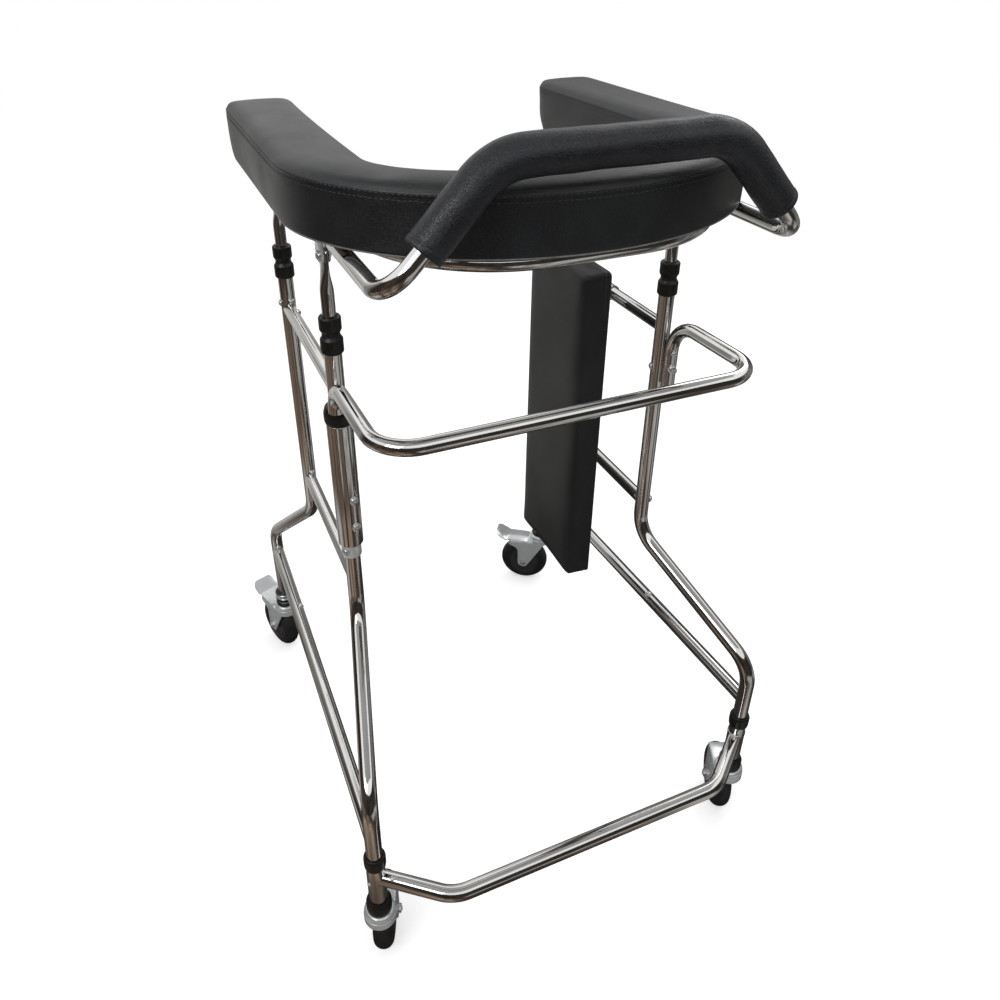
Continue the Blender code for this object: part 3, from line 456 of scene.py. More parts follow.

# Camera at the photograph's place
camera = {
    "place": (-0.432, -1.020, 1.312), "tilt": 59.667, "turn": -23.016, "sensor": 36.0, "lens": 30.54,
    "shift": (0.0199, -0.0808),
}
pickOnly()
bpy.ops.object.camera_add(
    location=camera["place"], rotation=(math.radians(camera["tilt"]), 0, math.radians(camera["turn"])))
lookOut = bpy.context.object
lookOut.name = "viewpoint"
lookOut.data.sensor_width = camera["sensor"]
lookOut.data.lens = camera["lens"]
lookOut.data.shift_x, lookOut.data.shift_y = camera["shift"]
bpy.context.scene.camera = lookOut

# One bolt head with its washer, copied wherever a bolt shows
bolt = {"radius": 0.0050, "height": 0.0036, "washer": 0.0062, "washerHeight": 0.0009, "sink": 0.0012}


def makeBolt():
    dome = [(0, -bolt["sink"]), (bolt["washer"], -bolt["sink"]), (bolt["washer"], bolt["washerHeight"])]
    dome.append((bolt["radius"], bolt["washerHeight"]))
    for i in range(1, 7):
        a = math.radians(90.0 * i / 6)
        rise = (bolt["height"] - bolt["washerHeight"]) * math.sin(a)
        dome.append((bolt["radius"] * math.cos(a) if i < 6 else 0.0, bolt["washerHeight"] + rise))
    return smoothOver(painted(lathed("boltModel", dome, steps=24), "boltSteel"), 30.0)


boltModel = makeBolt()


def boltAt(place, way, size=1.0):
    spin = Vector((0, 0, 1)).rotation_difference(Vector(way).normalized()).to_matrix().to_4x4()
    where = Matrix.Translation(Vector(place)) @ spin @ Matrix.Scale(size, 4)
    return copyOf(boltModel, "boltHead", where)


def chromePiece(piece, body, replaced, bolts=()):
    name = piece.name
    painted(piece, "chromePlate")  # before the bolts join, as they keep their own steel
    if bolts:
        piece = joined(name, bolts + [piece])
    return finishPiece(piece, body, None, replaced)


# Four posts, bent out to the feet
post = {
    "radius": walker["postRadius"], "bend": 0.055, "clearance": 0.0001,
    "kneeZ": {"front": 0.461, "rear": 0.455}, "ankleZ": {"front": 0.348, "rear": 0.306},
    "rightFrontBolts": [  # place, the way they face, size
        ((0.2258, -0.1037, 0.758), (-0.92, 0.39, 0), 0.85), ((0.2461, -0.1130, 0.5230), (0.9, -0.43, 0), 1.0)],
    "rearBolts": [  # on the right post, and mirrored on the left one
        ((0.2471, 0.165, 0.830), (1, 0, 0), 0.9), ((0.2321, 0.1546, 0.8325), (-0.35, -0.94, 0), 0.9),
        ((0.2321, 0.1546, 0.5310), (-0.35, -0.94, 0), 0.9), ((0.2360, 0.1761, 0.520), (0, 1, 0), 1.0),
        ((0.2360, 0.1761, 0.820), (0, 1, 0), 1.0), ((0.2870, 0.3159, 0.2705), (0, -1, 0), 1.0)],
}


def postCorners(end, s):
    x, y = s * walker["postX"], walker["postY"][end]
    footX, footY = s * walker["footX"][end], walker["footY"][end]
    return [(x, y, walker["postTop"]), (x, y, post["kneeZ"][end]),
            (footX, footY, post["ankleZ"][end]), (footX, footY, walker["legBottom"])]


for side, s in sides.items():
    mirror = Vector((s, 1, 1))
    for end in ends:
        bolts = post["rearBolts"] if end == "rear" else post["rightFrontBolts"] if side == "right" else []
        heads = [boltAt(Vector(place) * mirror, Vector(way) * mirror, size) for place, way, size in bolts]
        tube = bentTube(f"{side}_{end}_post_tube", postCorners(end, s), [post["bend"]] * 2, post["radius"])
        chromePiece(tube, "frame", [f"{side}_{end}_post"], heads)
print("posts bent")

# Side rails, saddle-cut to the posts
rail = {
    "radius": 0.00955, "lowRadius": 0.01065, "endBoltY": 0.132, "endBoltSize": 0.8, "jointBoltSize": 0.9,
    "jointBolt": {"left": (0.139, (0.55, -0.2, 0.8)), "right": (-0.085, (-0.3, 0, 0.95))},
}
for side, s in sides.items():
    for label in ("upper", "mid", "lower"):
        if label == "lower":
            radius = rail["lowRadius"]
            run = [(s * walker["footX"][e], walker["footY"][e], walker["lowerRailZ"][e]) for e in ends]
        else:
            radius, z = rail["radius"], walker["railZ"][label]
            run = [(s * walker["postX"], walker["postY"][e], z) for e in ends]
        tube = tubeAlong(f"{side}_{label}_rail_tube", run, radius)
        for end in ends:
            cutBy(tube, bentTube("postCutter", postCorners(end, s), [post["bend"]] * 2,
                                 post["radius"] + post["clearance"]))
        heads = []
        if label == "upper":
            away = Vector((-s * 0.8, 0, 0.6))
            spot = Vector((run[0][0], rail["endBoltY"], z))
            heads = [boltAt(spot + away * radius, away, rail["endBoltSize"])]
        if label == "lower":
            boltY, away = rail["jointBolt"][side]
            away = Vector(away).normalized()
            spot = Vector(run[0]).lerp(Vector(run[1]), (boltY - run[0][1]) / (run[1][1] - run[0][1]))
            heads = [boltAt(spot + away * radius, away, rail["jointBoltSize"])]
        chromePiece(tube, "frame", [f"{side}_{label}_rail"], heads)
print("rails cut to the posts")

# Sleeves and collars round the front feet, and the crossbar between them
footSleeve = {
    "radius": 0.0131, "slim": 0.0124, "bead": 0.0137, "bottom": 0.1565, "top": 0.2275, "beadZ": 0.2110,
    "clearance": 0.0002, "soften": 0.0008, "pins": {"left": (203, 0.196), "right": (-113, 0.2190)},
}
footCollar = {"radius": 0.0150, "height": 0.0215, "soften": 0.0016}
crossbar = {
    "radius": 0.0111, "z": 0.202, "halfWidth": 0.209, "reachY": -0.409, "bend": 0.060,
    "pins": ((0.024, 1), (0.020, -1)), "pinSize": 0.55, "sink": 0.0004,
}
f, c = footSleeve, crossbar
inner = post["radius"] + f["clearance"]
for side, s in sides.items():
    foot = Matrix.Translation((s * walker["footX"]["front"], walker["footY"]["front"], 0))
    outline = [(inner, f["bottom"]), (f["radius"], f["bottom"])]
    if side == "right":
        outline += [(f["radius"], f["beadZ"] - 0.0025), (f["bead"], f["beadZ"] - 0.0012),
                    (f["bead"], f["beadZ"] + 0.0006), (f["slim"], f["beadZ"] + 0.0016)]
    else:
        outline.append((f["radius"], f["beadZ"]))
    outline += [(f["slim"], f["top"]), (inner, f["top"]), (inner, f["bottom"])]
    sleeve = moved(lathed(f"{side}_foot_sleeve_shell", roundedProfile(outline, f["soften"])), foot)
    angle, z = f["pins"][side]
    way = heading(angle)
    radius = f["slim"] if z > f["beadZ"] else f["radius"]
    pin = boltAt(foot.translation + way * radius + Vector((0, 0, z)), way, c["pinSize"])
    chromePiece(sleeve, "frame", [f"{side}_foot_sleeve"], [pin])
    low = f["top"] + fit
    high, wide = low + footCollar["height"], footCollar["radius"]
    outline = [(inner, low), (wide - 0.0006, low), (wide, low + 0.006), (wide, high - 0.004),
               (wide - 0.0016, high), (inner, high), (inner, low)]
    collar = moved(lathed(f"{side}_foot_collar_ring", roundedProfile(outline, footCollar["soften"])), foot)
    finishPiece(collar, "frame", "blackPlastic", [f"{side}_foot_collar"])
footX, footY = walker["footX"]["front"], walker["footY"]["front"]
corners = [(-footX, footY, c["z"]), (-c["halfWidth"], c["reachY"], c["z"]),
           (c["halfWidth"], c["reachY"], c["z"]), (footX, footY, c["z"])]
bar = bentTube("front_crossbar_tube", corners, [c["bend"]] * 2, c["radius"])
for s in sides.values():
    run = [(s * footX, footY, z) for z in (0.12, 0.26)]
    cutBy(bar, tubeAlong("sleeveCutter", run, f["radius"] - c["sink"]))
pins = []
along = (Vector(corners[1]) - Vector(corners[0])).normalized()
for reach, rise in c["pins"]:
    away = Vector((-0.15, -0.35, 0.9 * rise)).normalized()
    pins.append(boltAt(Vector(corners[0]) + along * reach + away * c["radius"], away, c["pinSize"]))
chromePiece(bar, "frame", ["front_crossbar"], pins)
print("front feet and crossbar made")

# Guard bar round the front, with arches that come down beside the front posts
guard = {
    "radius": 0.00955, "frontY": -0.310, "cornerX": 0.241, "corner": 0.048,
    "boltZ": (0.7665, 0.790), "boltWay": Vector((-0.24, -0.97, 0.0)), "sideBoltDrop": 0.0085,
    "left": {"cornerZ": 0.843, "legX": 0.24292, "legY": -0.12809, "legZ": 0.8375, "endZ": 0.7986,
             "arch": 0.034},
    "right": {"cornerZ": 0.840, "legX": 0.2400, "legY": -0.1295, "legZ": 0.8365, "endZ": 0.735,
              "arch": 0.047},
}
g = guard
corners = []
for side, s in sides.items():
    arm = g[side]
    run = [(s * arm["legX"], arm["legY"], arm["endZ"]), (s * arm["legX"], arm["legY"], arm["legZ"]),
           (s * g["cornerX"], g["frontY"], arm["cornerZ"])]
    corners += run if side == "left" else run[::-1]
bends = [g["left"]["arch"], g["corner"], g["corner"], g["right"]["arch"]]
bar = bentTube("guard_bar_tube", corners, bends, g["radius"])
cutBy(bar, tubeAlong("postCutter", postCorners("front", 1)[:2], post["radius"] + post["clearance"]))
legX, legY = g["right"]["legX"], g["right"]["legY"]
heads = [boltAt(Vector((legX, legY, z)) + g["boltWay"] * g["radius"], g["boltWay"], size)
         for z, size in zip(g["boltZ"], (1.0, 0.65))]
heads.append(boltAt((legX + g["radius"], legY, g["boltZ"][0] - g["sideBoltDrop"]), (1, 0, 0), 0.75))
chromePiece(bar, "frame", ["guard_bar"], heads)

# Socket that holds the guard bar's left end to the post
socket = {
    "radius": 0.0170, "bottom": 0.5845, "top": 0.7725, "seams": (-110.0, 70.0), "seamWidth": 0.0030,
    "seamDepth": 0.0016, "collarRadius": 0.0190, "collarTop": 0.7983, "boltAngle": -71.0,
    "boltZ": (0.6165, 0.6595),
}
postPlace = Matrix.Translation((-walker["postX"], walker["postY"]["front"], 0))
k = socket
outline = [(inner, k["bottom"]), (k["radius"], k["bottom"]), (k["radius"], k["top"]), (inner, k["top"]),
           (inner, k["bottom"])]
sleeve = lathed("guard_socket_sleeve_tube", roundedProfile(outline, 0.0009), steps=96)
for vertex in sleeve.data.vertices:  # a pressed groove where the sleeve's two halves meet
    x, y = vertex.co.x, vertex.co.y
    reach = math.hypot(x, y)
    if reach < inner + 0.001:
        continue
    for turn in k["seams"]:
        away = abs((math.degrees(math.atan2(y, x)) - turn + 180.0) % 360.0 - 180.0)
        across = math.radians(away) * reach
        press = k["seamDepth"] * math.exp(-((across / k["seamWidth"]) ** 2) * 2.0)
        vertex.co.x -= x / reach * press
        vertex.co.y -= y / reach * press
moved(sleeve, postPlace)
way = heading(k["boltAngle"])
heads = [boltAt(postPlace.translation + way * k["radius"] + Vector((0, 0, z)), way) for z in k["boltZ"]]
chromePiece(sleeve, "frame", ["guard_socket_sleeve"], heads)

low, high, wide = k["top"] + fit, k["collarTop"], k["collarRadius"]
outline = [(inner, low), (wide - 0.0012, low), (wide, low + 0.005), (wide, high - 0.010),
           (wide - 0.0022, high - 0.002), (wide - 0.006, high), (inner, high), (inner, low)]
collar = moved(lathed("guard_socket_collar_ring", roundedProfile(outline, 0.0020), steps=64), postPlace)
finishPiece(collar, "frame", "blackPlastic", ["guard_socket_collar"])

band = {
    "radius": 0.0134, "height": 0.021, "edge": 0.0002, "earStart": 0.0122, "earEnd": 0.0243, "earApart": 0.0024,
    "earHalf": 0.0008, "boltReach": 0.0194, "shank": 0.0030, "faceBoltAngle": 151.0, "turn": 67.0,
}
b = band
top = k["bottom"] - fit
bottom = top - b["height"]
wide = b["radius"]
outline = [(inner, bottom), (wide - b["edge"], bottom), (wide, bottom + 0.0012), (wide, top - 0.0012),
           (wide - b["edge"], top), (inner, top), (inner, bottom)]
strap = lathed("guard_band_strap", outline, steps=64)
ears = []
for offset in (-b["earApart"], b["earApart"]):
    ears.append(slab("ear", (b["earStart"], offset - b["earHalf"], bottom + 0.001),
                     (b["earEnd"], offset + b["earHalf"], top - 0.001), 0.0006))
middle = Vector((b["boltReach"], 0, (top + bottom) / 2))
run = [middle + Vector((0, -0.0064, 0)), middle + Vector((0, 0.0064, 0))]
ears.append(tubeAlong("shank", run, b["shank"]))
for part in ears + [strap]:
    painted(part, "zincPlate")
ears.append(boltAt(middle + Vector((0, -0.0032, 0)), (0, -1, 0)))
way = heading(b["faceBoltAngle"])
ears.append(boltAt(way * wide + Vector((0, 0, middle.z)), way))
strap = joined("guard_band_strap", ears + [strap])
moved(strap, postPlace @ Matrix.Rotation(math.radians(b["turn"]), 4, "Z"))
finishPiece(strap, "frame", None, ["guard_band_clamp"])
print("guard bar and its socket made")

# Height locks: a bush on each post end, a clamp nut over it and the inner post with its tab
lock = {
    "bore": 0.0087, "postBore": 0.0113, "bushRadius": 0.0140, "bushBottom": 0.8690, "bushTop": 0.8937,
    "nutRadius": 0.0135, "nutBottom": 0.8940, "nutTop": 0.9163, "waist": 0.0112, "ribs": 24, "ribDepth": 0.0003,
}
innerPost = {
    "radius": 0.0083, "bottom": 0.674, "roundTop": 0.944, "flatBottom": 0.978, "pivotZ": 0.990,
    "thick": 0.0060, "wide": 0.0210,
}


def ribbed(piece, radius):  # shallow grip flutes round a moulded ring
    for vertex in piece.data.vertices:
        reach = math.hypot(vertex.co.x, vertex.co.y)
        if reach > radius - 0.0009:
            wave = 0.5 + 0.5 * math.cos(math.atan2(vertex.co.y, vertex.co.x) * lock["ribs"])
            vertex.co.x -= vertex.co.x / reach * lock["ribDepth"] * wave ** 3
            vertex.co.y -= vertex.co.y / reach * lock["ribDepth"] * wave ** 3
    return piece


def makeBush():
    wide, waist, bore, postBore = lock["bushRadius"], lock["waist"], lock["bore"], lock["postBore"]
    low, high, shoulder = lock["bushBottom"], lock["bushTop"], walker["postTop"] + 0.0002
    outline = [(postBore, low), (wide - 0.0018, low), (wide, low + 0.0020), (wide, high - 0.0065),
               (waist, high - 0.0020), (waist, high), (bore, high), (bore, shoulder), (postBore, shoulder),
               (postBore, low)]
    return ribbed(lathed("bushModel", roundedProfile(outline, 0.0008), steps=96), wide)


def makeNut():
    wide, waist, bore = lock["nutRadius"], lock["waist"], lock["bore"]
    low, high = lock["nutBottom"], lock["nutTop"]
    outline = [(bore, low), (waist, low), (waist, low + 0.0018), (wide, low + 0.0058), (wide, high - 0.0016),
               (wide - 0.0014, high), (bore + 0.0022, high), (bore + 0.0016, high - 0.0012),
               (bore, high - 0.0012), (bore, low)]
    return ribbed(lathed("nutModel", roundedProfile(outline, 0.0007), steps=96), wide)


def makeInnerPost():
    n = innerPost
    line = [(0, n["bottom"]), (n["radius"], n["bottom"])]
    line += [(n["radius"], n["roundTop"] + 0.0034 * i) for i in range(11)]
    line += [(n["radius"], n["pivotZ"] - 0.006), (n["radius"], n["pivotZ"])]
    for i in range(1, 8):
        a = math.radians(90.0 * i / 8)
        line.append((n["radius"] * math.cos(a), n["pivotZ"] + n["wide"] / 2 * math.sin(a)))
    line.append((0, n["pivotZ"] + n["wide"] / 2))
    piece = lathed("innerPostModel", line)
    flat, wide = n["thick"] / 2 / n["radius"], n["wide"] / 2 / n["radius"]
    for vertex in piece.data.vertices:  # the tube's end is pressed flat
        share = max(0.0, min(1.0, (vertex.co.z - n["roundTop"]) / (n["flatBottom"] - n["roundTop"])))
        share = share * share * (3 - 2 * share)
        squareness = abs(vertex.co.x) / n["radius"]
        vertex.co.x *= 1 + (flat * (1.0 + 0.25 * (1 - squareness)) - 1) * share
        vertex.co.y *= 1 + (wide - 1) * share
    return painted(piece, "chromePlate")


# Bracket under the board: a folded plate whose two ears hold the tab
bracket = {
    "ear": 0.0094, "plate": 0.0020, "flange": 0.0090, "half": 0.0150, "earInner": 0.0033, "shank": 0.0030,
    "shankOver": 0.0022, "boltSize": 1.1, "turn": {"front": 11.0, "rear": 0.0},
}


def makeBracket():
    b = bracket
    top, pivot, face = walker["boardZ"] - fit, innerPost["pivotZ"], b["earInner"] + b["plate"]
    outline = [(0, -b["ear"], top - b["plate"])]
    outline += [(0, y, z) for y, z in arc(b["ear"], 180, 360, 12, up=pivot)]
    outline.append((0, b["ear"], top - b["plate"]))
    parts = []
    for s in sides.values():
        ear = thickened(drawLine("ear", outline, fill=True), b["plate"])
        moved(ear, Matrix.Translation((s * (b["earInner"] + b["plate"] / 2), 0, 0)))
        parts.append(bevelled(ear, 0.0005, 2))
    edge = face + b["flange"] / 2
    parts.append(slab("base", (-edge, -b["half"], top - b["plate"]), (edge, b["half"], top), 0.0006))
    reach = face + b["shankOver"]
    parts.append(tubeAlong("shank", [(-reach, 0, pivot), (reach, 0, pivot)], b["shank"]))
    for part in parts:
        painted(part, "zincPlate")
    heads = [boltAt((s * face, 0, pivot), (s, 0, 0), b["boltSize"]) for s in sides.values()]
    return joined("bracketModel", heads + parts)


bushModel, nutModel = painted(makeBush(), "blackPlastic"), painted(makeNut(), "blackPlastic")
innerPostModel, bracketModel = makeInnerPost(), makeBracket()
for side, s in sides.items():
    for end in ends:
        where = Matrix.Translation((s * walker["postX"], walker["postY"][end], 0))
        turned = where @ Matrix.Rotation(math.radians(-s * bracket["turn"][end]), 4, "Z")
        label = f"{side}_{end}"
        for model, name, place, body, node, slot in (
                (bushModel, "lock_bush", where, "frame", "post_bush", "black_plastic"),
                (nutModel, "lock_nut", where, f"{label}_nut", "clamp_nut", "black_plastic"),
                (innerPostModel, "inner_tube", turned, "pad_carriage", "inner_post", "chrome"),
                (bracketModel, "bracket", turned, "pad_carriage", "pad_bracket", "zinc")):
            finishPiece(copyOf(model, f"{label}_{name}", place), body, None, [f"{label}_{node}"])
print("height locks and brackets made")


# Tube under the board, the arched handle and its soft grip
def endPlug(x, y, z, radius):
    rims = [(x, y + step, z) for step in (-0.004, 0.0, 0.0012, 0.0020)]
    return painted(tubeAlong("endPlug", rims, radius + 0.0004, swell=[1.0, 1.0, 0.93, 0.70]), "blackPlastic")


supportTube = {"radius": 0.00955, "x": 0.208, "frontY": -0.306, "rearY": 0.205, "z": 1.02515, "bend": 0.155}
u = supportTube
corners = [(-u["x"], u["rearY"], u["z"]), (-u["x"], u["frontY"], u["z"]),
           (u["x"], u["frontY"], u["z"]), (u["x"], u["rearY"], u["z"])]
tube = bentTube("pad_support_bent_tube", corners, [u["bend"]] * 2, u["radius"], steps=24)
plugs = [endPlug(s * u["x"], u["rearY"], u["z"], u["radius"]) for s in sides.values()]
chromePiece(tube, "pad_carriage", ["pad_support_tube"], plugs)

handle = {
    "radius": 0.00955, "legX": 0.235, "legZ": 1.02045, "legRearY": -0.158, "lowY": -0.3365,
    "topX": 0.1245, "topY": -0.3355, "topZ": 1.136, "lowBend": 0.038, "topBend": 0.0685,
    "blockHalf": 0.009, "blockLength": 0.022, "blockBehind": 0.0048,
}
h = handle
corners = [(-h["legX"], h["legRearY"], h["legZ"]), (-h["legX"], h["lowY"], h["legZ"]),
           (-h["topX"], h["topY"], h["topZ"]), (h["topX"], h["topY"], h["topZ"]),
           (h["legX"], h["lowY"], h["legZ"]), (h["legX"], h["legRearY"], h["legZ"])]
bends = [h["lowBend"], h["topBend"], h["topBend"], h["lowBend"]]
tube = bentTube("handle_bent_tube", corners, bends, h["radius"], steps=14)
plugs = []
for s in sides.values():
    rear = h["legRearY"] - h["blockBehind"]
    block = slab("saddleBlock", (s * h["legX"] - h["blockHalf"], rear - h["blockLength"], h["legZ"] + 0.0032),
                 (s * h["legX"] + h["blockHalf"], rear, walker["boardZ"] - 0.0004), 0.0012)
    plugs += [painted(block, "blackPlastic"), endPlug(s * h["legX"], h["legRearY"], h["legZ"], h["radius"])]
chromePiece(tube, "pad_carriage", ["handle_tube"], plugs)

grip = {
    "radius": 0.0200, "startShare": 0.34, "lip": 0.0016, "hem": 0.0075, "hemGroove": 0.022, "flare": 0.030,
    "spacing": 0.006, "endZone": 0.014, "endSpacing": 0.0006,
}
low, top = Vector(corners[1]), Vector(corners[2])
start = low.lerp(top, grip["startShare"])
mirror = Vector((-1, 1, 1))
points = bendPoints([start, top, top * mirror, start * mirror], [h["topBend"]] * 2, 22)
dense = []
for here, there in zip(points, points[1:]):  # even spacing, so that the sleeve can wrinkle a little
    count = max(1, round((there - here).length / grip["spacing"]))
    dense += [here.lerp(there, i / count) for i in range(count)]
dense.append(points[-1])
for way in (1, -1):  # closer rings at both ends, for the rolled lip and the hem
    dense = dense[::way]
    first, along = dense[0], (dense[1] - dense[0]).normalized()
    while (dense[1] - first).length < grip["endZone"]:
        dense.pop(1)
    dense[1:1] = [first + along * grip["endSpacing"] * k for k in range(1, 22)]
    dense = dense[::way]
reach = [0.0]
for here, there in zip(dense, dense[1:]):
    reach.append(reach[-1] + (there - here).length)
swell = []
for r in reach:
    ended = min(r, reach[-1] - r)
    rolled = math.sqrt(max(0.0, 1 - (1 - min(1.0, ended / grip["lip"])) ** 2))
    groove = grip["hemGroove"] * math.exp(-((ended - grip["hem"]) / 0.0011) ** 2)
    swell.append(0.90 + 0.10 * rolled + grip["flare"] * math.exp(-((ended - 0.003) / 0.006) ** 2) - groove)
sleeve = tubeAlong("handle_grip_sleeve", dense, grip["radius"], swell=swell, rings=11)
cutBy(sleeve, bentTube("gripCore", corners, bends, h["radius"] + 0.0002, steps=14))
for vertex in sleeve.data.vertices:  # the soft sleeve isn't perfectly even
    ripple = noise.noise(vertex.co * 38.0) * 0.0006 + noise.noise(vertex.co * 120.0) * 0.00015
    vertex.co += vertex.normal * ripple
finishPiece(sleeve, "pad_carriage", "gripVinyl", ["handle_grip"], 60.0)
print("handle made")

# Horseshoe forearm pad, built as the cover's panels and then blown up a little
pad = {
    "halfWidth": 0.281, "frontReach": 0.228, "armWidth": 0.089, "frontWidth": 0.070, "innerStart": 0.045,
    "rearY": 0.228, "bottomZ": 1.035, "topZ": 1.106, "topRound": 0.0090, "outerCorner": 0.013,
    "innerCorner": 0.024, "flare": 0.005, "rearSweep": 0.022, "sweepHeight": 0.026, "seamDrop": 0.0122,
    "recess": 0.0067, "recessZ": 1.0454, "armSteps": 46, "frontSteps": 108, "cornerSteps": 7,
    "shrink": 0.0012, "cap": 0.0040, "pressure": 4.0, "calm": 8, "seamPinch": 0.0017, "ridge": 0.0007,
    "ending": 0.060, "capRings": (0.84, 0.66, 0.48, 0.30, 0.14, 0.0),
}
stitch = {"length": 0.0042, "pitch": 0.0058, "radius": 0.00045, "lift": 0.0001, "above": 0.72, "below": 0.70}


def padStations():  # outer edge, inner edge and the two corner insets, from one arm's end to the other's
    p = pad
    frontY = walker["postY"]["front"]
    outerA, outerB = p["halfWidth"], p["frontReach"]
    innerA = p["halfWidth"] - p["armWidth"]
    innerB = p["frontReach"] - p["frontWidth"] - p["innerStart"]
    arm, caps = [], []
    stop = 1 - p["innerCorner"] / (p["rearY"] - frontY)
    for i in range(p["armSteps"]):
        t = stop * (1 - i / p["armSteps"])
        widen = p["flare"] * t ** 3
        reach = (p["rearY"] - frontY + p["innerStart"]) * t
        arm.append((Vector((-outerA, frontY + (p["rearY"] - frontY) * t, 0)),
                    Vector((widen - innerA, frontY - p["innerStart"] + reach, 0)), 0.0, 0.0))
    front = []
    for i in range(p["frontSteps"] + 1):
        a = math.pi + math.pi * i / p["frontSteps"]
        x, y = math.cos(a), math.sin(a)
        front.append((Vector((outerA * x, frontY + outerB * y, 0)),
                      Vector((innerA * x, frontY - p["innerStart"] + innerB * y, 0)), 0.0, 0.0))
    for k in range(1, p["cornerSteps"] + 1):  # the arm's end turns round its two corners
        a = math.radians(90.0 * k / p["cornerSteps"])
        drop = p["innerCorner"] * (1 - math.sin(a))
        inner = p["innerCorner"] * (1 - math.cos(a))
        outer = 0.0
        if drop < p["outerCorner"]:
            outer = p["outerCorner"] * (1 - math.sqrt(1 - (1 - drop / p["outerCorner"]) ** 2))
        y = p["rearY"] - drop
        caps.append((Vector((-outerA, y, 0)), Vector((p["flare"] - innerA, y, 0)), outer, inner))
    half = caps[::-1] + arm
    mirrored = Vector((-1, 1, 1))
    return half + front + [(o * mirrored, n * mirrored, i, j) for o, n, i, j in half[::-1]]


def padSection():  # (share across, metres from that edge, height, mark) round the cover
    p = pad
    low, high, r = p["bottomZ"], p["topZ"], p["topRound"]
    seam = high - p["seamDrop"]
    side = [low, low + 0.004] + [low + 0.004 + (seam - low - 0.004) * i / 9 for i in range(1, 10)]
    side += [seam + (high - r - seam) * i / 2 for i in (1, 2)]
    outer = [(0, 0.0, z, "seam" if abs(z - seam) < 1e-6 else "") for z in side]
    for a in map(math.radians, (22.5, 45, 67.5, 90)):
        outer.append((0, r * (1 - math.cos(a)), high - r * (1 - math.sin(a)), ""))
    across = [(i / 15, None, high, "") for i in range(1, 15)]
    inner = [(1, d, z, mark) for _, d, z, mark in outer[::-1]]
    under = [(1, 0.002, low, "pin"), (1, p["recess"], low, "pin"), (1, p["recess"], p["recessZ"], "pin")]
    under += [(i / 11, None, p["recessZ"], "pin") for i in range(10, 0, -1)]
    under += [(0, p["recess"], p["recessZ"], "pin"), (0, p["recess"], low, "pin"), (0, 0.002, low, "pin")]
    return outer + across + inner + under


def sweepAt(z):  # how far the arm's end slopes in below, at a height
    lift = min(1.0, (z - pad["bottomZ"]) / pad["sweepHeight"])
    return pad["rearSweep"] * (1 - lift) ** 2


def endingAt(y):  # from 0 to 1 along the arm's last stretch
    return max(0.0, min(1.0, (y - pad["rearY"] + pad["ending"]) / pad["ending"]))


def buildPad(stations, section):
    p = pad
    count, last = len(section), len(stations) - 1
    verts, marks, faces = [], [], []
    for number, (outer, inner, outerInset, innerInset) in enumerate(stations):
        way = (inner - outer).normalized()
        width = (inner - outer).length
        drop = p["topRound"] * 0.55 * (outerInset / p["outerCorner"]) ** 1.2
        for share, edge, z, mark in section:
            # The board's groove ends short of the arm's end
            if (number < 3 or number > last - 3) and z == p["recessZ"]:
                z = p["bottomZ"]
                edge = None if edge is None else edge + 0.001
            if edge is None:
                first = p["topRound"] if z == p["topZ"] else p["recess"]
                along = first + (width - 2 * first) * share
            else:
                along = edge if share == 0 else width - edge
            along = outerInset + along * (width - outerInset - innerInset) / width
            place = outer + way * along
            place.z = z
            if mark != "pin":
                full, lowered = p["topZ"] - p["bottomZ"], p["topZ"] - drop - p["bottomZ"]
                place.z = p["bottomZ"] + (z - p["bottomZ"]) * lowered / full
            place.y -= sweepAt(place.z) * endingAt(place.y)
            verts.append(place)
            marks.append(mark)
    for k in range(last):
        for i in range(count):
            j = (i + 1) % count
            a, b = k * count, (k + 1) * count
            faces.append((a + i, a + j, b + j, b + i))
    skirt = [i for i, m in enumerate(section) if m[3] != "pin"]
    for first, flip in ((0, False), (last * count, True)):  # rings that close the arm's end
        ring = [first + i for i in range(count)]
        centre = Vector((0, 0, 0))
        for i in skirt:
            centre += verts[first + i]
        centre /= len(skirt)
        for share in p["capRings"]:
            fresh = []
            for i in range(count if share else 1):
                fresh.append(len(verts))
                spot = centre.lerp(verts[first + i], share)
                spot.y = p["rearY"] - sweepAt(spot.z)
                verts.append(spot)
                marks.append("")
            for i in range(count):
                j = (i + 1) % count
                face = (ring[i], fresh[i], fresh[j], ring[j]) if share else (ring[i], fresh[0], ring[j])
                faces.append(face if flip else face[::-1])
            ring = fresh
    piece = meshPiece("forearm_pad_cover", verts, faces)
    pickOnly(piece)
    facesOut()
    return piece, marks


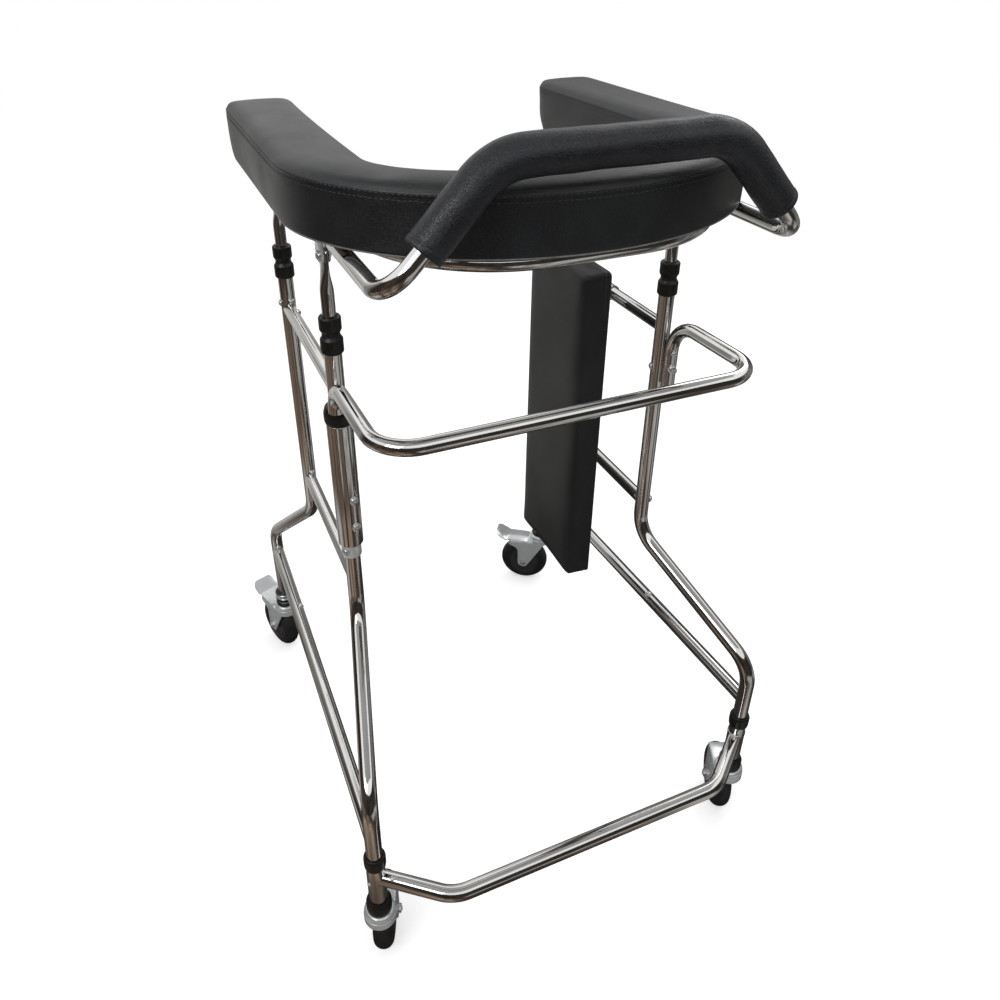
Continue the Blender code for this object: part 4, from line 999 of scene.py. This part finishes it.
def blowUp(piece, held, look, frames=20):  # cloth under pressure with its travel limited, then evened out
    rest = [v.co.copy() for v in piece.data.vertices]
    piece.vertex_groups.new(name="held").add(held, 1.0, "REPLACE")
    cloth = piece.modifiers.new("cover", "CLOTH")
    settings = {
        "quality": 6, "mass": 0.3, "use_pressure": True, "uniform_pressure_force": look["pressure"],
        "vertex_group_mass": "held", "tension_stiffness": 18, "compression_stiffness": 6,
        "shear_stiffness": 5, "bending_stiffness": 4.0}
    for key, value in settings.items():
        setattr(cloth.settings, key, value)
    cloth.settings.effector_weights.gravity = 0
    cloth.collision_settings.use_collision = False
    cloth.collision_settings.use_self_collision = False
    cloth.point_cache.frame_start, cloth.point_cache.frame_end = 1, frames
    scene = bpy.context.scene
    for number in range(1, frames + 1):
        scene.frame_set(number)
    pickOnly(piece)
    bpy.ops.object.modifier_apply(modifier="cover")
    scene.frame_set(1)
    for vertex, home in zip(piece.data.vertices, rest):
        step = vertex.co - home
        if step.length > look["cap"]:
            vertex.co = home + step.normalized() * look["cap"]
    piece.vertex_groups.clear()
    keep = set(held)
    pickOnly()
    for vertex in piece.data.vertices:
        vertex.select = vertex.index not in keep
    for part in (*piece.data.edges, *piece.data.polygons):
        part.select = False
    pickOnly(piece)
    bpy.ops.object.mode_set(mode="EDIT")
    bpy.context.tool_settings.mesh_select_mode = (True, False, False)
    bpy.ops.mesh.vertices_smooth(factor=0.5, repeat=look["calm"])
    leaveEdit()


def stitchRow(name, points):
    pickOnly()
    bpy.ops.mesh.primitive_uv_sphere_add(segments=6, ring_count=4, radius=1.0)
    model = bpy.context.object
    moved(model, Matrix.Diagonal((stitch["length"] / 2, stitch["radius"], stitch["radius"], 1)))
    base = [v.co.copy() for v in model.data.vertices]
    shape = [tuple(f.vertices) for f in model.data.polygons]
    bpy.data.objects.remove(model)
    verts, faces = [], []
    travelled, due = 0.0, stitch["pitch"] / 2
    for (here, normal), (there, _) in zip(points, points[1:]):
        step = (there - here).length
        if step < 1e-7:
            continue
        while travelled + step >= due:
            spot = here.lerp(there, (due - travelled) / step) + normal * stitch["lift"]
            along = (there - here).normalized()
            side = normal.cross(along).normalized()
            turn = Matrix((along, side, along.cross(side))).transposed()
            first = len(verts)
            verts += [spot + turn @ v for v in base]
            faces += [tuple(first + i for i in f) for f in shape]
            due += stitch["pitch"]
        travelled += step
    return meshPiece(name, verts, faces)


stations, section = padStations(), padSection()
stationCount, sectionCount = len(stations), len(section)
cover, marks = buildPad(stations, section)
for vertex in cover.data.vertices:  # starts a little small, because it swells
    if marks[vertex.index] == "":
        vertex.co -= vertex.normal * pad["shrink"]
blowUp(cover, [i for i, mark in enumerate(marks) if mark], pad)
cover.data.update()
stitches = []
spots = cover.data.vertices
normals = [v.normal.copy() for v in spots]
for row in [i for i, m in enumerate(section) if m[3] == "seam"]:
    step = 1 if row < sectionCount / 2 else -1
    for other, share in ((row - step, stitch["below"]), (row + step, stitch["above"])):
        points = []
        for k in range(7, stationCount - 7):
            a, b = k * sectionCount + row, k * sectionCount + other
            normal = normals[a].lerp(normals[b], share).normalized()
            points.append((spots[a].co.lerp(spots[b].co, share), normal))
        stitches.append(stitchRow("row", points))
    # The seam draws the cover in, and the top panel's folded edge stands up over it
    for k in range(stationCount):
        seam = k * sectionCount + row
        spots[seam].co -= normals[seam] * pad["seamPinch"]
        spots[seam + step].co += normals[seam + step] * pad["ridge"]
changed(cover, "SUBSURF", levels=1, render_levels=1)
finishPiece(cover, "pad_carriage", "padVinyl", ["forearm_pad"], 60.0)
thread = joined("forearm_pad_stitching", stitches)
finishPiece(thread, "pad_carriage", "seamThread", (), 60.0)

edging = {"radius": 0.0011, "inset": 0.0030, "drop": 0.0004}
outline = []
for outer, inner, inset, _ in stations[6:-6]:
    way = (inner - outer).normalized()
    spot = Vector((outer.x, outer.y, 0)) + way * (edging["inset"] + inset)
    spot.z = pad["bottomZ"] - edging["drop"]
    spot.y -= pad["rearSweep"] * endingAt(spot.y)
    outline.append(spot)
bead = tubeAlong("pad_edge_bead", outline, edging["radius"], rings=2)
# the bead's light grey is a painted highlight for the glossy black edge
finishPiece(bead, "pad_carriage", "beadHighlightGrey", ())

# the board's dark colour is partly painted shade for its underside
board = painted(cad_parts["pad_board"], "darkShadedPly")
print("forearm pad made:", len(cover.data.polygons), "faces")

# Flip-up seat board with its padded cover
seat = {
    "innerX": 0.150, "outerX": 0.195, "lowY": -0.034, "highY": 0.149, "bottomZ": 0.3255, "topZ": 0.883,
    "soften": 0.0065, "backing": 0.004, "cap": 0.0022, "pressure": 4.0, "shrink": 0.0012, "voxel": 0.0045,
    "calm": 5, "seamInset": 0.0075, "seamWidth": 0.0016, "seamDepth": 0.0007, "stitchInset": 0.0028,
    "corner": 0.008,
}
t = seat
block = slab("seat_board_cover", (t["innerX"], t["lowY"], t["bottomZ"]), (t["outerX"], t["highY"], t["topZ"]))
bevelled(block, t["soften"], 4)
changed(block, "REMESH", mode="VOXEL", voxel_size=t["voxel"])
block.data.update()
backX = t["outerX"] - t["backing"]
for vertex in block.data.vertices:
    if vertex.co.x < backX:
        vertex.co -= vertex.normal * t["shrink"]
blowUp(block, [v.index for v in block.data.vertices if v.co.x > backX], t)
for axis, low, high in ((1, t["lowY"], t["highY"]), (2, t["bottomZ"], t["topZ"])):  # back to the board's size
    reach = [v.co[axis] for v in block.data.vertices]
    first, last = min(reach), max(reach)
    for vertex in block.data.vertices:
        vertex.co[axis] = low + (vertex.co[axis] - first) * (high - low) / (last - first)
changed(block, "SUBSURF", levels=1, render_levels=1)
block.data.update()
seamX = t["outerX"] - t["seamInset"]
for vertex in block.data.vertices:  # the seam where the front panel meets the edge band
    away = (vertex.co.x - seamX) / t["seamWidth"]
    if abs(away) < 2.5:
        vertex.co -= vertex.normal * t["seamDepth"] * math.exp(-away * away)
finishPiece(block, "seat", "seatVinyl", ["seat_board"], 60.0)
corners = [(t["lowY"], t["bottomZ"]), (t["highY"], t["bottomZ"]),
           (t["highY"], t["topZ"]), (t["lowY"], t["topZ"])]
loop = [(seamX - t["stitchInset"], y, z) for y, z in corners + corners[:2]]
loop = roundedProfile(loop, t["corner"], 6)[1:-8]
middle = Vector((seamX, (t["lowY"] + t["highY"]) / 2, (t["bottomZ"] + t["topZ"]) / 2))
loop.append(loop[0])
points = []
for here, there in zip(loop, loop[1:]):
    count = max(1, round((there - here).length / 0.01))
    normal = Vector((1, 0, 0)).cross((there - here).normalized()).normalized()
    for i in range(count):
        spot = here.lerp(there, i / count)
        outward = normal if normal.dot(spot - middle) > 0 else -normal
        hit, place, _, _ = block.ray_cast(spot + outward * 0.02, -outward, distance=0.04)
        points.append((place if hit else spot, outward))
finishPiece(stitchRow("seat_board_stitching", points), "seat", "seamThread", (), 60.0)

clip = {
    "places": {"front": 0.037, "rear": 0.109}, "width": 0.017, "bore": 0.01015, "strap": 0.0016,
    "lapHalf": 0.0045, "plate": 0.003, "plateHeight": 0.050, "plateWidth": 0.034, "screwY": 0.011,
    "screwZ": 0.019, "screwSize": 0.6, "restZ": 0.348, "restRadius": 0.0105, "restReach": 0.0303,
}
q = clip
x, postX, railZ = t["outerX"] + fit, walker["postX"], walker["railZ"]["upper"]
ring, half = q["bore"] + q["strap"] / 2, q["width"] / 2
for label, y in q["places"].items():
    plate = slab("plate", (x, y - q["plateWidth"] / 2, railZ - q["plateHeight"] / 2),
                 (x + q["plate"], y + q["plateWidth"] / 2, railZ + q["plateHeight"] / 2), 0.0012)
    low, high = railZ - q["lapHalf"], railZ + q["lapHalf"]
    lap = [(x + 0.002, low), (postX - ring - 0.004, low), *arc(ring, 205, 515, 28, postX, railZ),
           (postX - ring - 0.004, high), (x + 0.002, high)]
    strap = drawLine("strap", [(a, y - half, b) for a, b in lap])
    pullAlongY(q["width"])
    thickened(strap, q["strap"])
    screws = []
    for a, b in ((-1, -1), (-1, 1), (1, -1), (1, 1)):
        place = (x + q["plate"], y + a * q["screwY"], railZ + b * q["screwZ"])
        screws.append(boltAt(place, (1, 0, 0), q["screwSize"]))
    parts = screws + [painted(strap, "zincPlate"), painted(plate, "zincPlate")]
    hinge = joined(f"{label}_seat_hinge_clip", parts)
    finishPiece(hinge, "seat", None, [f"{label}_seat_hinge"])
    r, reach = q["restRadius"], q["restReach"]
    outline = [(0, 0), (r, 0), (r, 0.006), (r * 0.78, 0.012), (r * 0.70, reach - 0.004),
               (r * 0.45, reach), (0, reach)]
    rest = lathed(f"{label}_seat_rest_buffer", roundedProfile(outline, 0.0015), steps=40)
    moved(rest, Matrix.Translation((x, y, q["restZ"])) @ Matrix.Rotation(math.pi / 2, 4, "Y"))
    finishPiece(rest, "seat", "blackPlastic", [f"{label}_seat_rest"])
print("seat board made:", len(block.data.polygons), "faces")

# Casters, modelled with the swivel axis on Z and the wheel trailing towards +X
caster = {
    "turn": {("front", "left"): 68.0, ("front", "right"): 64.0,
             ("rear", "left"): 109.0, ("rear", "right"): 145.0},
    "trail": {"front": 0.042, "rear": 0.034}, "forkTop": {"front": 0.1130, "rear": 0.1085},
    "wheelRadius": 0.052, "wheelHalf": 0.0145, "treadRound": 0.0142, "treadDrop": 0.88, "hubRadius": 0.033,
    "recess": 0.0040, "step": 0.0008, "bossRadius": 0.009, "bossHalf": 0.01625, "bore": 0.00425,
    "faceRing": (0.020, 0.0215, 0.0235, 0.025), "sideGroove": (0.0370, 0.0377, 0.0384), "grooveDepth": 0.0007,
    "gap": 0.0350, "gauge": 0.0025, "stemReach": 0.0100, "earReach": 0.034, "axleEnd": 0.0125, "skirt": 0.004,
    "foldRound": 0.0024, "edgeRound": 0.0004, "webRound": 0.010, "headRadius": 0.0228, "headHeight": 0.0180,
    "pin": 0.0050, "pinHeight": 0.020, "pinClearance": 0.00025, "shank": 0.0040, "shankOver": 0.0012,
    "nutRadius": 0.0068, "nutHeight": 0.0045, "nutSink": 0.0003, "tip": 0.0030, "tipReach": 0.0056,
}
pedal = {
    "gauge": 0.0022, "tongue": 0.0400, "paddle": 0.0450, "pivotReach": 0.027, "heelReach": 0.0365,
    "tipReach": 0.0640, "rise": 0.0145, "curl": 1.3, "barrel": 0.0036, "stemGap": 0.003, "corner": 0.6,
    "edgeRound": 0.0006,
}
stem = {
    "radius": 0.0178, "groove": 0.0026, "rings": 5, "steelRings": (1, 3, 4), "edge": 0.0006,
    "spigot": 0.0093, "spigotHeight": 0.028, "spigotEdge": 0.002,
}
acrossY = Matrix.Rotation(math.pi / 2, 4, "X")


def makeWheel(end):
    w = caster
    half, tread, floor, step = w["wheelHalf"], w["treadRound"], w["wheelHalf"] - w["recess"], w["step"]
    boss, hub, ring, groove = w["bossRadius"], w["hubRadius"], w["faceRing"], w["sideGroove"]
    side = [(w["bore"], w["bossHalf"]), (boss - 0.001, w["bossHalf"]), (boss, w["bossHalf"] - 0.001),
            (boss + 0.0005, floor + step), (boss + 0.002, floor),
            (ring[0], floor), (ring[1], floor + step), (ring[2], floor + step), (ring[3], floor),
            (hub - 0.003, floor), (hub - 0.0012, floor + step), (hub, half - 0.0006), (hub + 0.0012, half),
            (groove[0], half), (groove[1], half - w["grooveDepth"]), (groove[2], half)]
    for i in range(6, -1, -1):
        a = math.radians(90.0 * i / 6)
        drop = tread * w["treadDrop"] * (1 - math.cos(a))
        side.append((w["wheelRadius"] - drop, half - tread * (1 - math.sin(a))))
    line = side + [(r, -z) for r, z in side[::-1]]
    piece = painted(lathed("wheelModel", line + [line[0]], steps=72), "tyreRubber", "hubPlastic")
    for face in piece.data.polygons:
        if math.hypot(face.center.x, face.center.y) < hub:
            face.material_index = 1
    return moved(piece, Matrix.Translation((w["trail"][end], 0, w["wheelRadius"])) @ acrossY)


def makeFork(end):
    w = caster
    trail, top, axleZ, axleEnd = w["trail"][end], w["forkTop"][end], w["wheelRadius"], w["axleEnd"]
    ear = trail + (w["earReach"] if end == "rear" else axleEnd + w["gauge"])
    outline = [(-w["stemReach"], top + 0.001), (-w["stemReach"], top - w["skirt"])]
    outline += arc(axleEnd, 228.0, 360.0, 12, trail, axleZ)
    web = roundedProfile([(trail + axleEnd, axleZ), (trail + axleEnd, top - 5 * w["skirt"]),
                          (ear, top - 2.5 * w["skirt"])], w["webRound"], 6)
    outline += web[1:]
    if end == "rear":
        relief = trail + pedal["pivotReach"] - pedal["barrel"] / 2  # room under the pressed pedal
        outline += [(ear, top - 0.8 * w["skirt"]), (relief, top + 0.001)]
    else:
        outline.append((ear, top + 0.001))
    outer, inner = w["gap"] / 2 + w["gauge"], w["gap"] / 2
    shell = slab("forkModel", (-w["stemReach"] - 0.01, -outer, 0.0), (ear + 0.01, outer, top))
    bevelled(shell, w["foldRound"], 4)
    cutBy(shell, slab("hollow", (-0.06, -inner, -0.02), (0.12, inner, top - w["gauge"])))
    if end == "rear":  # the deck stops short of the pedal's pin
        stop = trail + pedal["pivotReach"] - 2 * pedal["barrel"]
        cutBy(shell, slab("slot", (stop, -inner, top - 0.02), (0.12, inner, top + 0.02)))
    side = drawLine("outline", [(x, -0.03, z) for x, z in outline], fill=True)
    pullAlongY(0.06)
    facesOut()
    cutBy(shell, side, "INTERSECT")
    bevelled(shell, w["edgeRound"], 2, 40.0)
    wide, mid, high = w["headRadius"], top + w["headHeight"] / 2, top + w["headHeight"]
    head = [
        (0, top - w["skirt"]), (wide - 0.0008, top - w["skirt"]), (wide, top - w["skirt"] + 0.001),
        (wide, mid - 0.0016), (wide - 0.0006, mid - 0.0006), (wide - 0.0030, mid - 0.0003),
        (wide - 0.0030, mid + 0.0006), (wide - 0.0012, mid + 0.0010), (wide - 0.0006, mid + 0.0022),
        (wide - 0.0014, high - 0.0026), (wide - 0.0046, high), (w["pin"], high),
        (w["pin"], high + w["pinHeight"]), (0, high + w["pinHeight"])]
    race = lathed("race", roundedProfile(head, 0.0010, 3), steps=72)
    reach = outer + w["shankOver"]
    shank = tubeAlong("shank", [(trail, -reach, axleZ), (trail, reach, axleZ)], w["shank"])
    parts = [race, shank]
    for s in (-1, 1):
        pickOnly()
        bpy.ops.mesh.primitive_cylinder_add(vertices=6, radius=w["nutRadius"], depth=w["nutHeight"])
        nut = bevelled(bpy.context.object, 0.0007, 2)
        reach = s * (outer + w["nutHeight"] / 2 - w["nutSink"])
        moved(nut, Matrix.Translation((trail, 0, axleZ)) @ acrossY @ Matrix.Translation((0, 0, reach)))
        run = [(trail, -s * outer, axleZ), (trail, -s * (outer + w["tipReach"]), axleZ)]
        tip = tubeAlong("tip", run, w["tip"])
        parts += [painted(nut, "boltSteel"), painted(tip, "boltSteel")]
    for part in (shell, race, shank):
        painted(part, "zincPlate")
    return joined("forkModel", parts + [shell])


def makePedal():
    w, p = caster, pedal
    trail, top = w["trail"]["rear"], w["forkTop"]["rear"]
    middle = top + fit + p["gauge"] / 2
    start, pivot = w["headRadius"] + p["stemGap"], trail + p["pivotReach"]
    heel, tip = trail + p["heelReach"], trail + p["tipReach"]
    half, narrow = p["paddle"] / 2, p["tongue"] / 2
    line = [(start, -half, middle), (heel - 0.004, -half, middle)]
    for i in range(1, 13):
        share = i / 12
        line.append((heel + (tip - heel) * share, -half, middle + p["rise"] * share ** p["curl"]))
    sheet = drawLine("pedalModel", line)
    pullAlongY(p["paddle"])
    thickened(sheet, p["gauge"])
    corner = p["corner"] * half
    plan = [(start, -narrow), (heel, -narrow), (heel + 0.005, -half)]
    plan += arc(corner, 270, 360, 8, tip - corner, corner - half)
    plan += [(x, -y) for x, y in plan[::-1]]
    keep = drawLine("plan", [(x, y, 0.09) for x, y in plan], fill=True)
    editAll()
    bpy.ops.mesh.extrude_region_move(TRANSFORM_OT_translate={"value": (0, 0, 0.08)})
    leaveEdit()
    facesOut()
    cutBy(sheet, keep, "INTERSECT")
    bevelled(sheet, p["edgeRound"], 2, 40.0)
    reach, pinZ = w["gap"] / 2 - fit, top - p["barrel"] / 2
    barrel = tubeAlong("barrel", [(pivot, -reach, pinZ), (pivot, reach, pinZ)], p["barrel"])
    return joined("pedalModel", [painted(barrel, "zincPlate"), painted(sheet, "zincPlate")])


def makeSocket(end):
    w, n = caster, stem
    low, high = w["forkTop"][end] + w["headHeight"] + fit, walker["legBottom"] - fit
    bore, wide, edge = w["pin"] + w["pinClearance"], n["radius"], n["edge"]
    spigot, bevel = n["spigot"], n["spigotEdge"]
    line = [(bore, low)]
    if end == "rear":
        step = (high - low) / n["rings"]
        for k in range(n["rings"]):
            r, z = wide - n["groove"] * (k % 2), low + k * step
            line += [(r - edge, z), (r, z + edge), (r, z + step - edge), (r - edge, z + step)]
    else:
        cup = [(wide - 0.001, low), (wide, low + 0.002), (wide, high - 0.008), (wide - 0.004, high)]
        line += roundedProfile(cup, 0.002)
    spigotTop, pinTop = high + n["spigotHeight"], low - fit + w["pinHeight"] + 0.002
    line += [(spigot, high), (spigot, spigotTop - bevel), (spigot - bevel, spigotTop), (0, spigotTop),
             (0, pinTop), (bore, pinTop), (bore, low)]
    piece = painted(lathed("socketModel", line, steps=64), "blackPlastic", "boltSteel")
    if end == "rear":
        for face in piece.data.polygons:
            share = (face.center.z - low) / (high - low) * n["rings"]
            if 0 < share < n["rings"] and int(share) in n["steelRings"]:
                face.material_index = 1
    return piece


models = {end: {"wheel": makeWheel(end), "fork": makeFork(end), "socket": makeSocket(end)} for end in ends}
pedalModel = makePedal()
for (end, side), turn in caster["turn"].items():
    foot = Matrix.Translation((sides[side] * walker["footX"][end], walker["footY"][end], 0))
    where = foot @ Matrix.Rotation(math.radians(turn), 4, "Z")
    label = f"{side}_{end}"
    finishPiece(copyOf(models[end]["socket"], f"{label}_stem_socket", foot), "frame", None,
                [f"{label}_caster_socket"])
    for part, slot in (("fork", "zinc"), ("wheel", "tyre_black")):
        finishPiece(copyOf(models[end][part], f"{label}_{part}", where), f"{label}_{part}", None,
                    [f"{label}_caster_{part}"], 30.0)
    if end == "rear":
        finishPiece(copyOf(pedalModel, f"{side}_pedal", where), f"{side}_pedal", None,
                    [f"{side}_brake_pedal"], 30.0)
spare = [boltModel, bushModel, nutModel, innerPostModel, bracketModel, pedalModel]
for model in spare + [m for group in models.values() for m in group.values()]:
    bpy.data.objects.remove(model)
print("casters made")

# Floor, world and lamps of the studio
studio = {
    "floorSize": 16, "floorZ": -0.0005, "floorColour": (0.80, 0.80, 0.80), "floorGlow": 0.47, "worldGrey": 0.66,
    "lamps": {  # place, size and power, all aimed at one point
        "keyLamp": ((-1.7, -1.2, 2.4), (1.2, 1.6), 20.0),
        "topLamp": ((0.2, 0.3, 2.9), (1.8, 1.8), 14.0),
        "rimLamp": ((1.9, 1.2, 1.9), (1.0, 1.6), 9.0)},
    "aim": (0, 0, 0.7),
}
tones = {
    "shade": (0.035, 0.031, 0.028), "walnut": (0.080, 0.056, 0.042), "oak": (0.19, 0.14, 0.105),
    "tan": (0.34, 0.26, 0.20), "grey": (0.20, 0.195, 0.185), "pale": (0.43, 0.425, 0.41),
    "cream": (0.64, 0.63, 0.61),
}
room = {  # what only the gloss sees: a wooden floor, a low wall and a ceiling, by compass sector from +X
    "radius": 2.3, "wallHeight": 1.72, "underFoot": 0.42, "underSoft": 0.25, "nearEnd": 0.95,
    "farStart": 1.20, "ceilingZ": 2.6, "ceiling": ((-1.7, 1.7), (-1.45, 1.75)),
    "ceilingTone": (0.30, 0.54), "beamY": (1.05, 1.22),
    "near": [(-180, "pale"), (-166, "shade"), (-154, "tan"), (-136, "oak"), (-122, "tan"), (-106, "walnut"),
             (-92, "shade"), (-74, "oak"), (-60, "pale"), (-44, "shade"), (-16, "walnut"), (2, "grey"),
             (24, "pale"), (46, "grey"), (66, "walnut"), (88, "pale"), (106, "cream"), (124, "pale"),
             (140, "walnut"), (154, "pale")],
    "far": [(-180, "walnut"), (-162, "oak"), (-148, "walnut"), (-134, "oak"), (-118, "walnut"),
            (-104, "shade"), (-90, "pale"), (-60, "pale"), (-49, "shade"), (-38, "grey"), (-28, "pale"),
            (-18, "grey"), (-9, "shade"), (12, "grey"), (40, "pale"), (66, "grey"), (84, "pale"),
            (104, "cream"), (124, "pale"), (142, "walnut"), (162, "oak")],
    "wall": [(-180, "walnut"), (-140, "shade"), (-100, "shade"), (-55, "shade"), (-36, "shade"),
             (-20, "grey"), (4, "grey"), (30, "shade"), (62, "grey"), (84, "cream"), (108, "cream"),
             (124, "pale"), (152, "shade")],
}


def unlitMaterial(name):  # a new material with its tree and the socket that its shader goes to
    material = bpy.data.materials.new(name)
    material.use_nodes = True
    tree = material.node_tree
    return material, tree, tree.nodes["Material Output"].inputs["Surface"]


def seenDirectly(tree):  # 1 for rays from the camera, from gloss and through glass
    light = wired(tree, "LightPath", {}).node.outputs
    seen = combine(tree, "MAXIMUM", light["Is Camera Ray"], light["Is Glossy Ray"])
    return combine(tree, "MAXIMUM", seen, light["Is Transmission Ray"])


pickOnly()
bpy.ops.mesh.primitive_plane_add(size=studio["floorSize"], location=(0, 0, studio["floorZ"]))
floor = bpy.context.object
floor.name = "studio_floor"
paper, tree, surface = unlitMaterial("floorPaper")
shader = tree.nodes["Principled BSDF"]
shader.inputs["Base Color"].default_value = (*studio["floorColour"], 1)
shader.inputs["Roughness"].default_value = 0.9
shader.inputs["Specular IOR Level"].default_value = 0.0
glow = combine(tree, "MULTIPLY", seenDirectly(tree), studio["floorGlow"])
lift = wired(tree, "Emission", {"Strength": glow})
tree.links.new(wired(tree, "AddShader", {0: shader.outputs["BSDF"], 1: lift}), surface)
floor.data.materials.append(paper)

world = bpy.data.worlds.new("softRoom")
bpy.context.scene.world = world
world.use_nodes = True
tree = world.node_tree
level = ranged(tree, seenDirectly(tree), 0.0, 1.0, studio["worldGrey"], 1.0)
background = tree.nodes["Background"]
background.inputs["Color"].default_value = (1, 1, 1, 1)
tree.links.new(level, background.inputs["Strength"])

for name, (place, size, power) in studio["lamps"].items():
    pickOnly()
    turn = (Vector(place) - Vector(studio["aim"])).to_track_quat("Z", "Y").to_euler()
    bpy.ops.object.light_add(type="AREA", location=place, rotation=turn)
    lamp = bpy.context.object
    lamp.name = name
    lamp.data.shape = "RECTANGLE"
    lamp.data.size, lamp.data.size_y = size
    lamp.data.energy = power


def onlyForGloss(card, name, felt):
    card.name = name
    card.data.materials.append(felt)
    card.visible_camera = card.visible_diffuse = card.visible_shadow = card.visible_transmission = False
    card.visible_volume_scatter = False


def sectorRamp(tree, compass, sectors):
    colour = wired(tree, "ValToRGB", {"Fac": compass})
    stops = colour.node.color_ramp.elements
    while len(stops) < len(sectors):
        stops.new(0.5)
    for stop, (angle, tone) in zip(stops, sectors):
        stop.position = (angle + 180.0) / 360.0
        stop.color = (*tones[tone], 1)
    return colour


def roomFelt(name, nearSectors, farSectors):  # colour by direction round the walker, with uneven streaks
    felt, tree, surface = unlitMaterial(name)
    place = wired(tree, "TexCoord", {}, "Object")
    compass = wired(tree, "TexGradient", {"Vector": place}, "Fac", gradient_type="RADIAL")
    flat = wired(tree, "VectorMath", {0: place, 1: (1.0, 1.0, 0.0)}, operation="MULTIPLY")
    reach = wired(tree, "VectorMath", {0: flat}, "Value", operation="LENGTH")
    outward = ranged(tree, reach, room["nearEnd"], room["farStart"])
    under = ranged(tree, reach, room["underFoot"], room["underFoot"] + room["underSoft"])
    mixed = wired(tree, "MixRGB", {
        "Fac": outward, "Color1": sectorRamp(tree, compass, nearSectors),
        "Color2": sectorRamp(tree, compass, farSectors)})
    shaded = wired(tree, "MixRGB", {"Fac": under, "Color1": (*tones["shade"], 1), "Color2": mixed})
    blotches = wired(tree, "TexNoise", {"Vector": place, "Scale": 5.0, "Detail": 3.0})
    around = combine(tree, "MULTIPLY", compass, 70.0)
    turned = wired(tree, "CombineXYZ", {"X": around, "Y": reach})
    streaks = wired(tree, "TexNoise", {"Vector": turned, "Scale": 1.0, "Detail": 2.0})
    uneven = ranged(tree, combine(tree, "ADD", blotches, streaks), 0.75, 1.25, 0.45, 1.45)
    tree.links.new(wired(tree, "Emission", {"Color": shaded, "Strength": uneven}), surface)
    return felt


pickOnly()
bpy.ops.mesh.primitive_circle_add(vertices=96, radius=room["radius"], fill_type="NGON", location=(0, 0, 0))
onlyForGloss(bpy.context.object, "reflected_floor", roomFelt("reflectedFloor", room["near"], room["far"]))
pickOnly()
bpy.ops.mesh.primitive_cylinder_add(vertices=96, radius=room["radius"], depth=room["wallHeight"],
                                    end_fill_type="NOTHING", location=(0, 0, room["wallHeight"] / 2))
wall = settle(bpy.context.object)
onlyForGloss(wall, "reflected_wall", roomFelt("reflectedWall", room["wall"], room["wall"]))
pickOnly()
(lowX, highX), (lowY, highY) = room["ceiling"]
bpy.ops.mesh.primitive_plane_add(size=1, location=((lowX + highX) / 2, (lowY + highY) / 2, room["ceilingZ"]))
ceiling = bpy.context.object
ceiling.scale = (highX - lowX, highY - lowY, 1)
settle(ceiling)
felt, tree, surface = unlitMaterial("reflectedCeiling")
y = wired(tree, "SeparateXYZ", {"Vector": wired(tree, "TexCoord", {}, "Object")}, "Y")
tone = ranged(tree, y, lowY, highY, *room["ceilingTone"])
beam = combine(tree, "MULTIPLY", combine(tree, "GREATER_THAN", y, room["beamY"][0]),
            combine(tree, "LESS_THAN", y, room["beamY"][1]))
level = combine(tree, "MULTIPLY", tone, combine(tree, "SUBTRACT", 1.0, beam))
tree.links.new(wired(tree, "Emission", {"Strength": level}), surface)
onlyForGloss(ceiling, "reflected_ceiling", felt)

bpy.context.scene.view_settings.view_transform = "Standard"
print("studio set")
